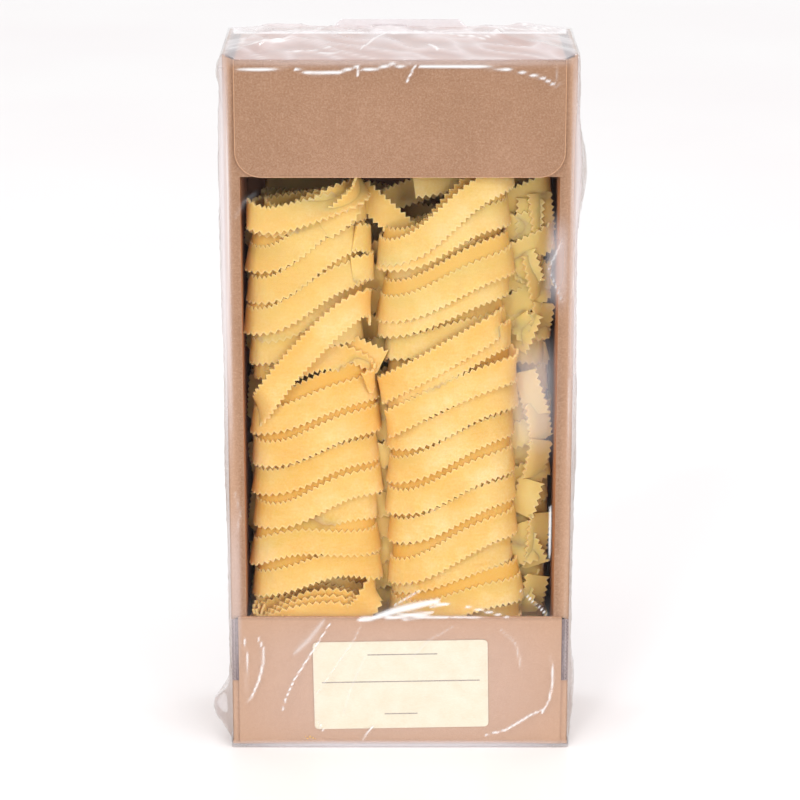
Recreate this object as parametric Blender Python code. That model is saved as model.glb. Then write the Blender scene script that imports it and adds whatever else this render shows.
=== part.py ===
"""Ribbon pasta in a cardboard tray, wrapped in clear film.

The tray is one folded blank that stands on its bottom panel. It has hollow side walls, a top panel that
folds down into a front flap, and a front lip that carries a bare label. Nests of ribbon pasta with zigzag
edges are stacked inside, two columns in front and two behind. The shared sizes are in millimetres, with
the tray's underside at z = 0, its front towards -Y and its middle at x = y = 0.
"""

import math
import random

import bmesh
import bpy
from mathutils import Vector

MM = 0.001
CLEARANCE = 0.3

TRAY_WIDTH = 122.4
TRAY_DEPTH = 56.0
TRAY_HEIGHT = 253.0
WALL_TOP = 254.8
BOARD = 1.2
WALL_HOLLOW = 3.2
FLAP_WIDTH = 114.6
FLAP_BOTTOM = 212.2
FLAP_CORNER = 9.0
LIP_WIDTH = 117.2
LIP_HEIGHT = 49.6
FOLD_RADIUS = 1.1
SLOT_BOTTOM = 25.4
SLOT_TOP = 49.2
SLOT_CORNER = 1.0
CUT_PAST = 0.5
CUT_SHORT = 0.024

LABEL_WIDTH = 63.5
LABEL_HEIGHT = 33.9
LABEL_THICKNESS = 0.2
LABEL_CORNER = 1.5
LABEL_MIDDLE = (0.3, 23.8)
LABEL_TURN = 1.0

FILM = 0.5
FILM_CORNER = 1.0
LAP_LEFT, LAP_RIGHT = -7.0, 7.0
LAP_SLIT = 0.5
LAP_SLIT_END = 8.0
TAIL_HALF_TOP, TAIL_HALF_FOOT = 21.0, 27.0
TAIL_HEIGHT = 4.0
TAIL_BEHIND_MIDDLE = 23.0

RIBBON = 10.2
RIBBON_THICKNESS = 1.0
TOOTH_PITCH = 2.6
TOOTH_DEPTH = 1.2
TUCK = 1.6
SQUARENESS = 2.8
CURVE_STEPS = 12
LOOP_STEP = 22
TURN_SHIFT = 0.9
TURN_STAND = 0.7
HOLLOW_WALL = 3.4
HOLLOW_DEPTH = 8.0
HOLLOW_TAPER = 0.8
COLUMN_FRONT_Y = -13.2
COLUMN_FRONT_HALF = 11.6
COLUMN_BACK_Y = 13.4
COLUMN_BACK_HALF = 12.2
FLOOR = BOARD + 0.4

# Each nest of the two front columns: middle and half length along X, then its turns from the bottom up.
# A turn is the height of its lower edge at the left end and at the right end, and its bow in between.
FRONT_NESTS = {
    "nest_front_left_base": (
        (-31.8, 22.4),
        ((FLOOR, FLOOR, 0.0), (12.0, 13.5, 0.0), (22.5, 25.5, 0.0), (33.0, 37.5, 0.0), (42.3, 46.5, 0.0)),
    ),
    "nest_front_left_middle": (
        (-31.6, 21.8),
        (
            (55.4, 62.0, 3.0), (66.0, 74.5, 1.0), (73.5, 84.5, 0.0), (81.0, 94.0, 0.0),
            (93.5, 106.0, 0.0), (104.5, 117.6, -0.6), (115.7, 129.0, 0.0), (126.5, 140.6, 0.6),
        ),
    ),
    "nest_front_left_top": (
        (-33.2, 21.2),
        (
            (143.2, 159.5, 0.0), (153.2, 172.0, -0.6), (164.7, 184.8, -1.0),
            (176.3, 194.5, -1.0), (190.5, 200.0, 0.0),
        ),
    ),
    "nest_front_right_base": (
        (20.8, 24.2),
        ((FLOOR, FLOOR, 0.0), (12.0, 13.0, 0.0), (22.5, 24.5, 0.0), (33.0, 36.0, 0.0), (42.5, 49.0, -1.0)),
    ),
    "nest_front_right_middle": (
        (17.4, 22.4),
        (
            (55.8, 67.5, 0.0), (61.5, 78.0, -1.0), (74.5, 91.0, 0.0), (86.0, 101.5, -0.6),
            (97.3, 114.5, 0.0), (110.5, 126.5, -0.8), (121.7, 135.6, 0.0), (131.0, 147.0, 0.0),
        ),
    ),
    "nest_front_right_top": (
        (15.2, 22.8),
        (
            (144.2, 159.0, 0.0), (151.0, 166.2, 0.0), (158.5, 173.8, -0.6),
            (170.5, 178.5, 1.2), (176.6, 193.0, 0.0), (180.6, 206.5, -1.2),
        ),
    ),
}

# The two columns behind, told from the front ones only at their right ends and in the gap between them.
BACK_COLUMNS = {"left": (-28.4, 26.2), "right": (27.4, 26.8)}
BACK_NESTS = {"base": (FLOOR, 5), "middle": (57.5, 7), "top": (141.0, 5)}
BACK_PITCH = 11.2
BACK_RISE = 6.0

# The stretch of a nest's front that has teeth, as shares of its half length: all of it where it shows.
TOOTHED_FRONT = (-0.94, 0.94)
TOOTHED_BASE = (-0.8, 0.8)
TOOTHED_BEHIND = {"left": (-0.94, -0.8), "right": (0.66, 0.94)}

# Loose passes of ribbon on the front of a nest: points along the middle line as (x, y, z).
CROSSINGS = {
    "nest_front_left_middle": (
        (
            (-49.5, -19.8, 130.0), (-42.0, -24.2, 137.0), (-31.0, -25.5, 149.0),
            (-21.0, -25.9, 158.5), (-13.6, -25.6, 164.5),
        ),
        ((-37.0, -21.8, 138.0), (-29.0, -24.9, 144.6), (-19.0, -24.6, 145.0), (-11.6, -21.6, 143.0)),
    ),
    "nest_front_left_top": (
        ((-22.0, -23.6, 203.5), (-17.0, -25.1, 205.4), (-14.4, -23.4, 206.4)),
    ),
    "nest_front_right_middle": (
        (
            (-4.0, -17.5, 136.5), (2.0, -22.8, 139.5), (10.0, -24.9, 143.5),
            (18.0, -25.6, 148.0), (28.0, -25.9, 153.2), (36.5, -24.8, 156.4),
        ),
    ),
}


def material(name, colour, roughness, alpha=1.0):
    made = bpy.data.materials.new(name)
    made.use_nodes = True
    made.diffuse_color = (*colour, alpha)
    surface = made.node_tree.nodes["Principled BSDF"]
    surface.inputs["Base Color"].default_value = (*colour, 1.0)
    surface.inputs["Roughness"].default_value = roughness
    surface.inputs["Alpha"].default_value = alpha
    return made


def node_object(name, mesh):
    made = bpy.data.objects.new(name, mesh)
    bpy.context.scene.collection.objects.link(made)
    return made


def arc(centre, radius, start, stop, steps):
    """Points on a circle, from the start angle to the stop angle in degrees."""
    angles = [math.radians(start + (stop - start) * i / steps) for i in range(steps + 1)]
    return [(centre[0] + radius * math.cos(a), centre[1] + radius * math.sin(a)) for a in angles]


def rounded_box(left, right, low, high, radius, steps=3):
    """The outline of a rectangle with round corners, anticlockwise."""
    return (
        arc((right - radius, low + radius), radius, -90, 0, steps)
        + arc((right - radius, high - radius), radius, 0, 90, steps)
        + arc((left + radius, high - radius), radius, 90, 180, steps)
        + arc((left + radius, low + radius), radius, 180, 270, steps)
    )


def box_outline(left, right, low, high):
    return [(left, low), (right, low), (right, high), (left, high)]


def prism(name, outline, axis, start, end):
    """A closed solid: an outline in millimetres, pushed along X, Y or Z from start to end."""
    place = {
        "X": lambda a, b, along: (along, a, b),
        "Y": lambda a, b, along: (a, along, b),
        "Z": lambda a, b, along: (a, b, along),
    }[axis]
    shape = bmesh.new()
    bottom = [shape.verts.new(Vector(place(a, b, start)) * MM) for a, b in outline]
    face = shape.faces.new(bottom)
    pushed = bmesh.ops.extrude_face_region(shape, geom=[face])
    moved = [item for item in pushed["geom"] if isinstance(item, bmesh.types.BMVert)]
    step = Vector(place(0.0, 0.0, end)) - Vector(place(0.0, 0.0, start))
    bmesh.ops.translate(shape, verts=moved, vec=step * MM)
    bmesh.ops.recalc_face_normals(shape, faces=shape.faces)
    mesh = bpy.data.meshes.new(name)
    shape.to_mesh(mesh)
    shape.free()
    return node_object(name, mesh)


def combine(target, others, operation):
    """One Boolean on a collection of the other solids, applied, and the others removed."""
    group = bpy.data.collections.new("joined_to_" + target.name)
    for other in others:
        group.objects.link(other)
    join = target.modifiers.new("Join", "BOOLEAN")
    join.operation = operation
    join.operand_type = "COLLECTION"
    join.collection = group
    join.solver = "EXACT"
    bpy.context.view_layer.update()
    graph = bpy.context.evaluated_depsgraph_get()
    result = bpy.data.meshes.new_from_object(target.evaluated_get(graph))
    target.modifiers.clear()
    spent = target.data
    target.data = result
    result.name = target.name
    bpy.data.meshes.remove(spent)
    for other in others:
        bpy.data.objects.remove(other)
    bpy.data.collections.remove(group)


def smooth(target, angle):
    target.data.shade_smooth()
    target.data.set_sharp_from_angle(angle=math.radians(angle))


def wall_pieces(side):
    """One hollow side wall: its outer skin, its inner skin and the rim strip that joins them in front."""
    outer = TRAY_WIDTH / 2
    inner = outer - 2 * BOARD - WALL_HOLLOW
    back = TRAY_DEPTH / 2
    front = -back + BOARD
    corner = arc((outer - FOLD_RADIUS, front + FOLD_RADIUS), FOLD_RADIUS, -90, 0, 3)
    skin = [(outer - BOARD, front), *corner, (outer, back), (outer - BOARD, back)]
    lining = box_outline(inner, inner + BOARD, front, back - BOARD / 2)
    rim = [
        (inner, BOARD / 2), (outer - BOARD / 2, BOARD / 2),
        (outer - BOARD / 2, WALL_TOP - BOARD / 4), (inner, TRAY_HEIGHT - BOARD / 2),
    ]
    solids = []
    for name, outline, axis, start, end in (
        ("skin", skin, "Z", BOARD / 2, WALL_TOP),
        ("lining", lining, "Z", BOARD / 2, TRAY_HEIGHT - BOARD / 2),
        ("rim", rim, "Y", front, front + BOARD),
    ):
        placed = [(side * a, b) for a, b in outline]
        solids.append(prism(f"{name}_{side}", placed, axis, start, end))
    return solids


def slot_cutter(side):
    """The upright slot in the rim strip beside the lip, where a tab of the blank would be tucked in."""
    outer = TRAY_WIDTH / 2 - BOARD
    inner = outer - WALL_HOLLOW
    front = -TRAY_DEPTH / 2 + BOARD
    outline = rounded_box(inner, outer, SLOT_BOTTOM, SLOT_TOP, SLOT_CORNER)
    placed = [(side * a, b) for a, b in outline]
    return prism(f"slot_{side}", placed, "Y", front - CUT_PAST, front + BOARD + CUT_PAST)


def flap_corner_cutter(side):
    """What is taken off a lower corner of the flap to round it, short of the rim strip behind the flap."""
    outer = FLAP_WIDTH / 2
    middle = (outer - FLAP_CORNER, FLAP_BOTTOM + FLAP_CORNER)
    past = (outer + CUT_PAST, FLAP_BOTTOM - CUT_PAST)
    curve = arc(middle, FLAP_CORNER, -90, 0, 6)
    outline = [*curve, (past[0], middle[1]), past, (middle[0], past[1])]
    placed = [(side * a, b) for a, b in outline]
    front = -TRAY_DEPTH / 2
    return prism(f"flap_corner_{side}", placed, "Y", front - CUT_PAST, front + BOARD - CUT_SHORT)


def make_tray(finish):
    """The folded blank: back, bottom with its lip, top panel with its flap, and two hollow walls."""
    front, back = -TRAY_DEPTH / 2, TRAY_DEPTH / 2
    top_fold = arc((front + FOLD_RADIUS, TRAY_HEIGHT - FOLD_RADIUS), FOLD_RADIUS, 180, 90, 4)
    top_outline = [
        (front + BOARD, FLAP_BOTTOM), (front, FLAP_BOTTOM), *top_fold, (back, TRAY_HEIGHT),
        (back, TRAY_HEIGHT - BOARD), (front + BOARD, TRAY_HEIGHT - BOARD),
    ]
    bottom_fold = arc((front + FOLD_RADIUS, FOLD_RADIUS), FOLD_RADIUS, 270, 180, 4)
    bottom_outline = [
        (back, BOARD), (back, 0.0), *bottom_fold, (front, LIP_HEIGHT), (front + BOARD, LIP_HEIGHT),
        (front + BOARD, BOARD),
    ]
    wide = TRAY_WIDTH / 2
    tray = prism("tray", box_outline(-wide, wide, 0.0, TRAY_HEIGHT), "Y", back - BOARD, back)
    pieces = [
        prism("top_and_flap", top_outline, "X", -FLAP_WIDTH / 2, FLAP_WIDTH / 2),
        prism("bottom_and_lip", bottom_outline, "X", -LIP_WIDTH / 2, LIP_WIDTH / 2),
        prism("bottom", box_outline(-wide, wide, front + BOARD, back), "Z", 0.0, BOARD),
    ]
    for side in (-1, 1):
        pieces += wall_pieces(side)
    combine(tray, pieces, "UNION")
    cutters = [slot_cutter(side) for side in (-1, 1)] + [flap_corner_cutter(side) for side in (-1, 1)]
    combine(tray, cutters, "DIFFERENCE")
    tray.data.materials.clear()
    tray.data.materials.append(finish)
    smooth(tray, 30)
    return tray


def make_label(finish):
    """The bare label on the lip, a little crooked."""
    outline = rounded_box(
        -LABEL_WIDTH / 2, LABEL_WIDTH / 2, -LABEL_HEIGHT / 2, LABEL_HEIGHT / 2, LABEL_CORNER
    )
    label = prism("label", outline, "Y", -LABEL_THICKNESS / 2, LABEL_THICKNESS / 2)
    depth = -TRAY_DEPTH / 2 - CLEARANCE - LABEL_THICKNESS / 2
    label.location = Vector((LABEL_MIDDLE[0], depth, LABEL_MIDDLE[1])) * MM
    label.rotation_euler = (0.0, -math.radians(LABEL_TURN), 0.0)
    label.data.materials.append(finish)
    return label


def make_film(finish):
    """The clear wrap: a thin skin round the tray, its lap seam and a fine slit behind, and its end tail."""
    side = TRAY_WIDTH / 2 + CLEARANCE
    front = -TRAY_DEPTH / 2 - 2 * CLEARANCE - LABEL_THICKNESS
    back = TRAY_DEPTH / 2 + CLEARANCE
    low, high = -CLEARANCE, WALL_TOP + CLEARANCE
    skin = rounded_box(-side - FILM, side + FILM, front - FILM, back + FILM, FILM_CORNER)
    film = prism("film", skin, "Z", low - FILM, high + FILM)
    lap_outline = box_outline(LAP_LEFT, LAP_RIGHT, back + FILM / 2, back + 2 * FILM)
    lap = prism("lap", lap_outline, "Z", low - FILM, high + FILM)
    tail_outline = [
        (-TAIL_HALF_FOOT, high + FILM / 2), (TAIL_HALF_FOOT, high + FILM / 2),
        (TAIL_HALF_TOP, high + FILM + TAIL_HEIGHT), (-TAIL_HALF_TOP, high + FILM + TAIL_HEIGHT),
    ]
    tail = prism("tail", tail_outline, "Y", TAIL_BEHIND_MIDDLE, TAIL_BEHIND_MIDDLE + FILM)
    combine(film, [lap, tail], "UNION")
    hollow_outline = rounded_box(-side, side, front, back, FILM_CORNER - FILM)
    hollow = prism("hollow", hollow_outline, "Z", low, high)
    slit_outline = box_outline(LAP_RIGHT, LAP_RIGHT + LAP_SLIT, back - CUT_PAST, back + FILM + CUT_PAST)
    slit = prism("slit", slit_outline, "Z", low + LAP_SLIT_END, high - LAP_SLIT_END)
    combine(film, [hollow, slit], "DIFFERENCE")
    film.data.materials.clear()
    film.data.materials.append(finish)
    smooth(film, 30)
    return film


def smooth_path(points, spacing):
    """Points at even spacing along a Catmull-Rom curve through the given ones."""
    knots = [Vector(point) for point in points]
    knots = [2 * knots[0] - knots[1], *knots, 2 * knots[-1] - knots[-2]]
    dense = []
    for i in range(1, len(knots) - 2):
        before, start, end, after = knots[i - 1 : i + 3]
        for step in range(CURVE_STEPS):
            t = step / CURVE_STEPS
            dense.append(
                0.5
                * (
                    2 * start
                    + (end - before) * t
                    + (2 * before - 5 * start + 4 * end - after) * t * t
                    + (3 * start - before - 3 * end + after) * t**3
                )
            )
    dense.append(knots[-2])
    lengths = [0.0]
    for one, two in zip(dense, dense[1:]):
        lengths.append(lengths[-1] + (two - one).length)
    count = max(2, round(lengths[-1] / spacing))
    path = []
    place = 0
    for i in range(count + 1):
        wanted = lengths[-1] * i / count
        while place < len(lengths) - 2 and lengths[place + 1] < wanted:
            place += 1
        share = (wanted - lengths[place]) / (lengths[place + 1] - lengths[place])
        path.append(dense[place].lerp(dense[place + 1], share))
    return path


def ribbon_pass(name, points):
    """One loose pass of ribbon with zigzag edges, as a closed solid that faces the front."""
    path = smooth_path(points, TOOTH_PITCH / 2)
    shape = bmesh.new()
    rings = []
    for i, middle in enumerate(path):
        along = (path[min(i + 1, len(path) - 1)] - path[max(i - 1, 0)]).normalized()
        flat = Vector((along.x, along.y, 0.0)).normalized()
        outward = Vector((flat.y, -flat.x, 0.0))
        across = outward.cross(along).normalized() * -1
        if across.z < 0:
            across.negate()
        tooth = TOOTH_DEPTH / 2 * (1 if i % 2 else -1)
        half = (RIBBON - TOOTH_DEPTH) / 2
        corners = (
            middle + outward * RIBBON_THICKNESS / 2 - across * (half + tooth),
            middle + outward * RIBBON_THICKNESS / 2 + across * (half - tooth),
            middle - outward * RIBBON_THICKNESS / 2 + across * (half - tooth),
            middle - outward * RIBBON_THICKNESS / 2 - across * (half + tooth),
        )
        rings.append([shape.verts.new(corner * MM) for corner in corners])
    for one, two in zip(rings, rings[1:]):
        for k in range(4):
            shape.faces.new((one[k], one[(k + 1) % 4], two[(k + 1) % 4], two[k]))
    shape.faces.new(rings[0])
    shape.faces.new(rings[-1])
    bmesh.ops.recalc_face_normals(shape, faces=shape.faces)
    mesh = bpy.data.meshes.new(name)
    shape.to_mesh(mesh)
    shape.free()
    return node_object(name, mesh)


def loop_stations(half_x, half_y, toothed):
    """Places round a flattened coil, anticlockwise from the left end: x share, y share and tooth sign.

    The toothed stretch is (from, to) as shares of the half length along the front. It has a place at every
    tip and every valley, and the rest of the loop has only the places that its curve needs.
    """
    start, stop = toothed
    count = max(1, round((stop - start) * half_x / (TOOTH_PITCH / 2)))
    stations = []
    for i in range(count + 1):
        x = start + (stop - start) * i / count
        depth = (1 - min(1.0, abs(x)) ** SQUARENESS) ** (1 / SQUARENESS)
        stations.append((x, -depth, 1 if i % 2 else -1))

    def angle_of(x, y):
        power = SQUARENESS / 2
        c = math.copysign(abs(x) ** power, x)
        s = math.copysign(abs(y) ** power, y)
        return math.degrees(math.atan2(s, c))

    first = angle_of(*stations[-1][:2])
    last = angle_of(*stations[0][:2]) + 360
    steps = round((last - first) / LOOP_STEP)
    for i in range(1, steps):
        angle = math.radians(first + (last - first) * i / steps)
        c, s = math.cos(angle), math.sin(angle)
        power = 2 / SQUARENESS
        stations.append((math.copysign(abs(c) ** power, c), math.copysign(abs(s) ** power, s), 0))
    return stations


def make_nest(name, middle, half, turns, toothed, finish, flat_foot):
    """A wound nest: each turn is a strip whose lower edge stands out over the one below, round an open top."""
    draw = random.Random(name)
    stations = loop_stations(half[0], half[1], toothed)
    shape = bmesh.new()

    def ring(low, high, bow, raised, inset, shift, teeth, lean=0.0):
        found = []
        for x, y, sign in stations:
            share = (x + 1) / 2
            rise = low + (high - low) * share + bow * 4 * share * (1 - share)
            up = raised + teeth * sign * TOOTH_DEPTH / 2
            inward = inset + lean * up
            place = (x * (half[0] - inward) + shift, y * (half[1] - inward), rise + up)
            found.append(shape.verts.new(Vector(place) * MM))
        return found

    rings = []
    for i, (low, high, bow) in enumerate(turns):
        shift = draw.uniform(-TURN_SHIFT, TURN_SHIFT)
        out = draw.uniform(0.0, TURN_STAND)
        foot_teeth = 0 if flat_foot and i == 0 else 1
        lean = TUCK / RIBBON
        rings.append(ring(low, high, bow, TOOTH_DEPTH / 2 * foot_teeth, out, shift, foot_teeth, lean))
        rings.append(ring(low, high, bow, RIBBON - TOOTH_DEPTH / 2, out, shift, -1, lean))
    low, high, bow = turns[-1]
    inner = TUCK + HOLLOW_WALL
    rings.append(ring(low, high, bow, RIBBON - TOOTH_DEPTH, inner, 0.0, 0))
    rings.append(ring(low, high, bow, RIBBON - HOLLOW_DEPTH, inner + HOLLOW_TAPER, 0.0, 0))
    for one, two in zip(rings, rings[1:]):
        for k in range(len(one)):
            n = (k + 1) % len(one)
            shape.faces.new((one[k], one[n], two[n], two[k]))
    for ring_of, order in ((rings[0], -1), (rings[-1], 1)):
        centre = sum((vert.co for vert in ring_of), Vector()) / len(ring_of)
        hub = shape.verts.new(centre)
        for k in range(len(ring_of)):
            n = (k + 1) % len(ring_of)
            shape.faces.new((ring_of[k], ring_of[n], hub)[::order])
    mesh = bpy.data.meshes.new(name)
    shape.to_mesh(mesh)
    shape.free()
    nest = node_object(name, mesh)
    nest.location = Vector((middle[0], middle[1], 0.0)) * MM
    if name in CROSSINGS:
        passes = [ribbon_pass(f"{name}_pass_{i}", points) for i, points in enumerate(CROSSINGS[name])]
        combine(nest, passes, "UNION")
    nest.data.materials.clear()
    nest.data.materials.append(finish)
    return nest


def make_front_nests(finish):
    nests = []
    for name, ((x, half_x), turns) in FRONT_NESTS.items():
        at_foot = name.endswith("base")
        middle = (x, COLUMN_FRONT_Y)
        half = (half_x, COLUMN_FRONT_HALF)
        toothed = TOOTHED_BASE if at_foot else TOOTHED_FRONT
        nests.append(make_nest(name, middle, half, turns, toothed, finish, at_foot))
    return nests


def make_back_nests(finish):
    nests = []
    for side, (x, half_x) in BACK_COLUMNS.items():
        middle = (x, COLUMN_BACK_Y)
        half = (half_x, COLUMN_BACK_HALF)
        for level, (foot, count) in BACK_NESTS.items():
            at_foot = level == "base"
            turns = []
            for i in range(count):
                rise = 0.0 if at_foot and i == 0 else BACK_RISE
                turns.append((foot + BACK_PITCH * i, foot + BACK_PITCH * i + rise, 0.0))
            name = f"nest_back_{side}_{level}"
            nests.append(make_nest(name, middle, half, turns, TOOTHED_BEHIND[side], finish, at_foot))
    return nests


def main():
    for old in list(bpy.data.objects):
        bpy.data.objects.remove(old)
    kraft = material("kraft_board", (0.56, 0.35, 0.24), 0.85)
    cream = material("label_paper", (0.85, 0.80, 0.62), 0.7)
    clear = material("clear_film", (0.95, 0.95, 0.96), 0.1, 0.12)
    dough = material("egg_pasta", (0.93, 0.65, 0.24), 0.7)
    dough_behind = material("egg_pasta_behind", (0.78, 0.53, 0.2), 0.7)
    pack = bpy.data.objects.new("pack", None)
    bpy.context.scene.collection.objects.link(pack)
    pieces = [make_tray(kraft), make_label(cream), make_film(clear)]
    pieces += make_front_nests(dough)
    pieces += make_back_nests(dough_behind)
    for piece in pieces:
        piece.parent = pack
    pack.location.z = (CLEARANCE + FILM) * MM


main()
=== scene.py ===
import math
import random
from functools import partial

import bmesh
import bpy
import numpy as np
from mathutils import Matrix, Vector, noise


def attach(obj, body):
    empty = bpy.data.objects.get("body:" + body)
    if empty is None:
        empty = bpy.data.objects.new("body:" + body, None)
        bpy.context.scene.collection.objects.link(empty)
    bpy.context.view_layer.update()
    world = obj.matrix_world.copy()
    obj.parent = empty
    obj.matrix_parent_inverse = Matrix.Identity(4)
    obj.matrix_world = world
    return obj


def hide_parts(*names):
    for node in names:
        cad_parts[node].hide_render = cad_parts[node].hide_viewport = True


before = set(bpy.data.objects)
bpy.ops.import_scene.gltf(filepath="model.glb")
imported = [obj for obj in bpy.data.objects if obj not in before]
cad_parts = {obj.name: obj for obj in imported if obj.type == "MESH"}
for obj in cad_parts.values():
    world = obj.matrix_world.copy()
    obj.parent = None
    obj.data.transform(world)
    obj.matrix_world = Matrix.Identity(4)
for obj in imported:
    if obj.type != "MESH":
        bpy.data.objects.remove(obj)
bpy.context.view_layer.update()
mm = 0.001
print("frame loaded:", len(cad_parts), "nodes")

# The film and the clearance lift the tray's underside this far above the floor
lift = 0.8


def toLinear(hexColour):  # sRGB hex to the linear colour that shaders take
    channels = [int(hexColour[i:i + 2], 16) / 255 for i in (1, 3, 5)]
    linear = [c / 12.92 if c <= 0.04045 else ((c + 0.055) / 1.055) ** 2.4 for c in channels]
    return (*linear, 1.0)


def addNode(tree, kind, inputs=(), out=0, stops=(), **settings):
    # One node with its settings. Its sockets, in order or by name, take a value, a hex colour or another
    # node's output, and a ramp takes its stops. It gives the output asked for, or with None all of them.
    made = tree.nodes.new(kind)
    for name, value in settings.items():
        setattr(made, name, value)
    for name, value in inputs.items() if isinstance(inputs, dict) else enumerate(inputs):
        if isinstance(value, bpy.types.NodeSocket):
            tree.links.new(value, made.inputs[name])
        else:
            made.inputs[name].default_value = toLinear(value) if str(value).startswith("#") else value
    for _ in stops[2:]:
        made.color_ramp.elements.new(0.5)
    for i, (place, colour) in enumerate(stops):
        made.color_ramp.elements[i].position = place
        made.color_ramp.elements[i].color = toLinear(colour)
    return made.outputs if out is None else made.outputs[out]


def workOut(add, known, sums, kind="ShaderNodeMath"):
    # Sums on named values, one after another: what the result is called, the operation, and its terms
    for name, operation, *terms in sums:
        terms = [known.get(term, term) for term in terms]
        if operation == "SCALE":
            terms = {0: terms[0], "Scale": terms[1]}
        known[name] = add(kind, terms, operation=operation)


def startMaterial(name):
    made = bpy.data.materials.new(name)
    made.use_nodes = True
    made.node_tree.nodes.clear()
    return made, partial(addNode, made.node_tree)


def endMaterial(add, colour, roughness, relief=None, depth=0.0, strength=1.0, more=()):
    # An opaque surface with its fine relief
    inputs = {"Base Color": colour, "Roughness": roughness, **dict(more)}
    if relief is not None:
        inputs["Normal"] = add("ShaderNodeBump", {"Height": relief, "Distance": depth, "Strength": strength})
    add("ShaderNodeOutputMaterial", {"Surface": add("ShaderNodeBsdfPrincipled", inputs)}, None)


def grain(add, perMm, detail, roughness=0.5, distortion=0.0):
    # A cloudy, speckled or fibrous pattern on Object coordinates: how many grains go to a millimetre, in all
    # directions or along each axis, and how much finer grain they carry
    scale = [each / mm for each in (perMm if isinstance(perMm, tuple) else (perMm,) * 3)]
    place = add("ShaderNodeMapping", {"Vector": add("ShaderNodeTexCoord", out="Object"), "Scale": scale})
    return add("ShaderNodeTexNoise", {
        "Vector": place, "Scale": 1, "Detail": detail, "Roughness": roughness, "Distortion": distortion,
    })


def layered(add, layers):
    # Colours laid one over another, each by its share: a plain colour, or a pattern and its colour stops
    colour = None
    for share, over, *stops in layers:
        if stops:
            over = add("ShaderNodeValToRGB", {"Fac": over}, stops=stops)
        if colour is None:
            colour = over
        else:
            colour = add("ShaderNodeMix", {0: share, 6: colour, 7: over}, 2, data_type="RGBA")
    return colour


def makeKraftBoard():
    # Unbleached kraft micro-flute board, pressed and creased: matt brown, cloudy, with paler loose fibres.
    # Real fibres are finer than a pixel, so specks and fibres are drawn about a millimetre in size.
    made, add = startMaterial("kraftMicroFluteBoard")
    speck = grain(add, 1.5, 3, 0.75)
    fibre = grain(add, (0.62, 0.9, 0.9), 3, distortion=1.2)
    known = dict(add("ShaderNodeSeparateXYZ", (add("ShaderNodeTexCoord", out="Object"),), None).items())
    workOut(add, known, (("side", "ABSOLUTE", "X"),))
    for name, along, *span in (
        ("low", "Z", 0.049, 0.051, 1, 0), ("rim", "side", 0.0568, 0.0592, 0, 0.7),
        ("front", "Y", -0.0262, -0.0268, 0, 1), ("between", "side", 0.0566, 0.0568, 1, 0),
        ("behind", "Y", -0.0266, -0.0262, 0, 1), ("ahead", "Y", 0.0272, 0.0274, 1, 0),
    ):
        known[name] = add("ShaderNodeMapRange", (known[along], *span))
    # Painted light: the fronts of the lip and of the walls' folded rims are painted paler for the brighter
    # light they catch, and the inside of the tray is painted a warmer, lighter brown for the warm light that
    # bounces inside it
    workOut(add, known, (
        ("rubbed", "MAXIMUM", "low", "rim"), ("rubbed", "MULTIPLY", "rubbed", "front"),
        ("rubbed", "MULTIPLY", "rubbed", 0.5), ("liner", "MULTIPLY", "between", "behind"),
        ("liner", "MULTIPLY", "liner", "ahead"), ("liner", "MULTIPLY", "liner", 0.75),
        ("relief", "ADD", speck, fibre),
    ))
    colour = layered(add, (
        (1, grain(add, 0.045, 6, 0.68), (0.30, "#9B775C"), (0.52, "#A58065"), (0.74, "#B08B70")),
        (0.36, speck, (0.34, "#876349"), (0.5, "#A58065"), (0.68, "#D2B39A")),
        (0.22, fibre, (0.34, "#987257"), (0.5, "#A58065"), (0.68, "#C2A085")),
        # painted light on the lip and rims, and painted warm bounce light inside the tray
        (known["rubbed"], "#D8B193"), (known["liner"], "#C2845A"),
    ))
    endMaterial(add, colour, 0.86, known["relief"], 0.00006, 0.7, {"Specular IOR Level": 0.25})
    return made


def makeCutBoard():
    # The die-cut edge of the same board, where the liners' fibres are open: paler and rougher, with its torn
    # fibres drawn as coarse as half a millimetre so that they show
    made, add = startMaterial("dieCutBoardEdge")
    rough = grain(add, 2.1, 3, 0.7)
    colour = layered(add, ((1, rough, (0.32, "#B08463"), (0.5, "#C69B7A"), (0.7, "#DBB899")),))
    endMaterial(add, colour, 0.93, rough, 0.00005)
    return made


def makeFluteMedium():
    # The corrugated medium between the liners, seen in the slots: painted shade, a dusky grey brown for the
    # slot's own shadow, with a painted highlight that makes the flutes' foremost faces paler
    made, add = startMaterial("corrugatedFluteMediumInShade")
    rough = grain(add, 1.5, 3)
    spot = add("ShaderNodeSeparateXYZ", (add("ShaderNodeTexCoord", out="Object"),), "Y")
    # painted highlight: the flutes' foremost faces are painted paler where they catch light
    raised = add("ShaderNodeMapRange", (spot, -0.02822, -0.02815, 0.7, 0))
    colour = layered(add, ((1, rough, (0.35, "#5F5052"), (0.6, "#847476")), (raised, "#C4B2AC")))
    endMaterial(add, colour, 0.95, rough, 0.00005)
    return made


def makeLabelPaper():
    # Uncoated cream sheet-label paper, cut with round corners: soft, warm and faintly mottled, its fibres
    # drawn coarser than they are
    made, add = startMaterial("uncoatedCreamLabelPaper")
    fibre = grain(add, (0.5, 0.5, 1.6), 4, distortion=2.0)
    colour = layered(add, (
        (1, grain(add, 0.14, 6), (0.34, "#E2D9BE"), (0.64, "#EAE3CD")),
        (0.3, fibre, (0.36, "#E0D7BA"), (0.62, "#F5EFDD")),
    ))
    endMaterial(add, colour, 0.62, fibre, 0.00003, 0.6, {"Specular IOR Level": 0.3})
    return made


def makeRuleInk():
    # Grey-brown ink of the plain rules, a little broken where it sits on the paper's fibres
    made, add = startMaterial("greyRuleInk")
    endMaterial(add, layered(add, ((1, grain(add, 2.6, 2), (0.38, "#857D72"), (0.66, "#ACA394")),)), 0.7)
    return made


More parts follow.
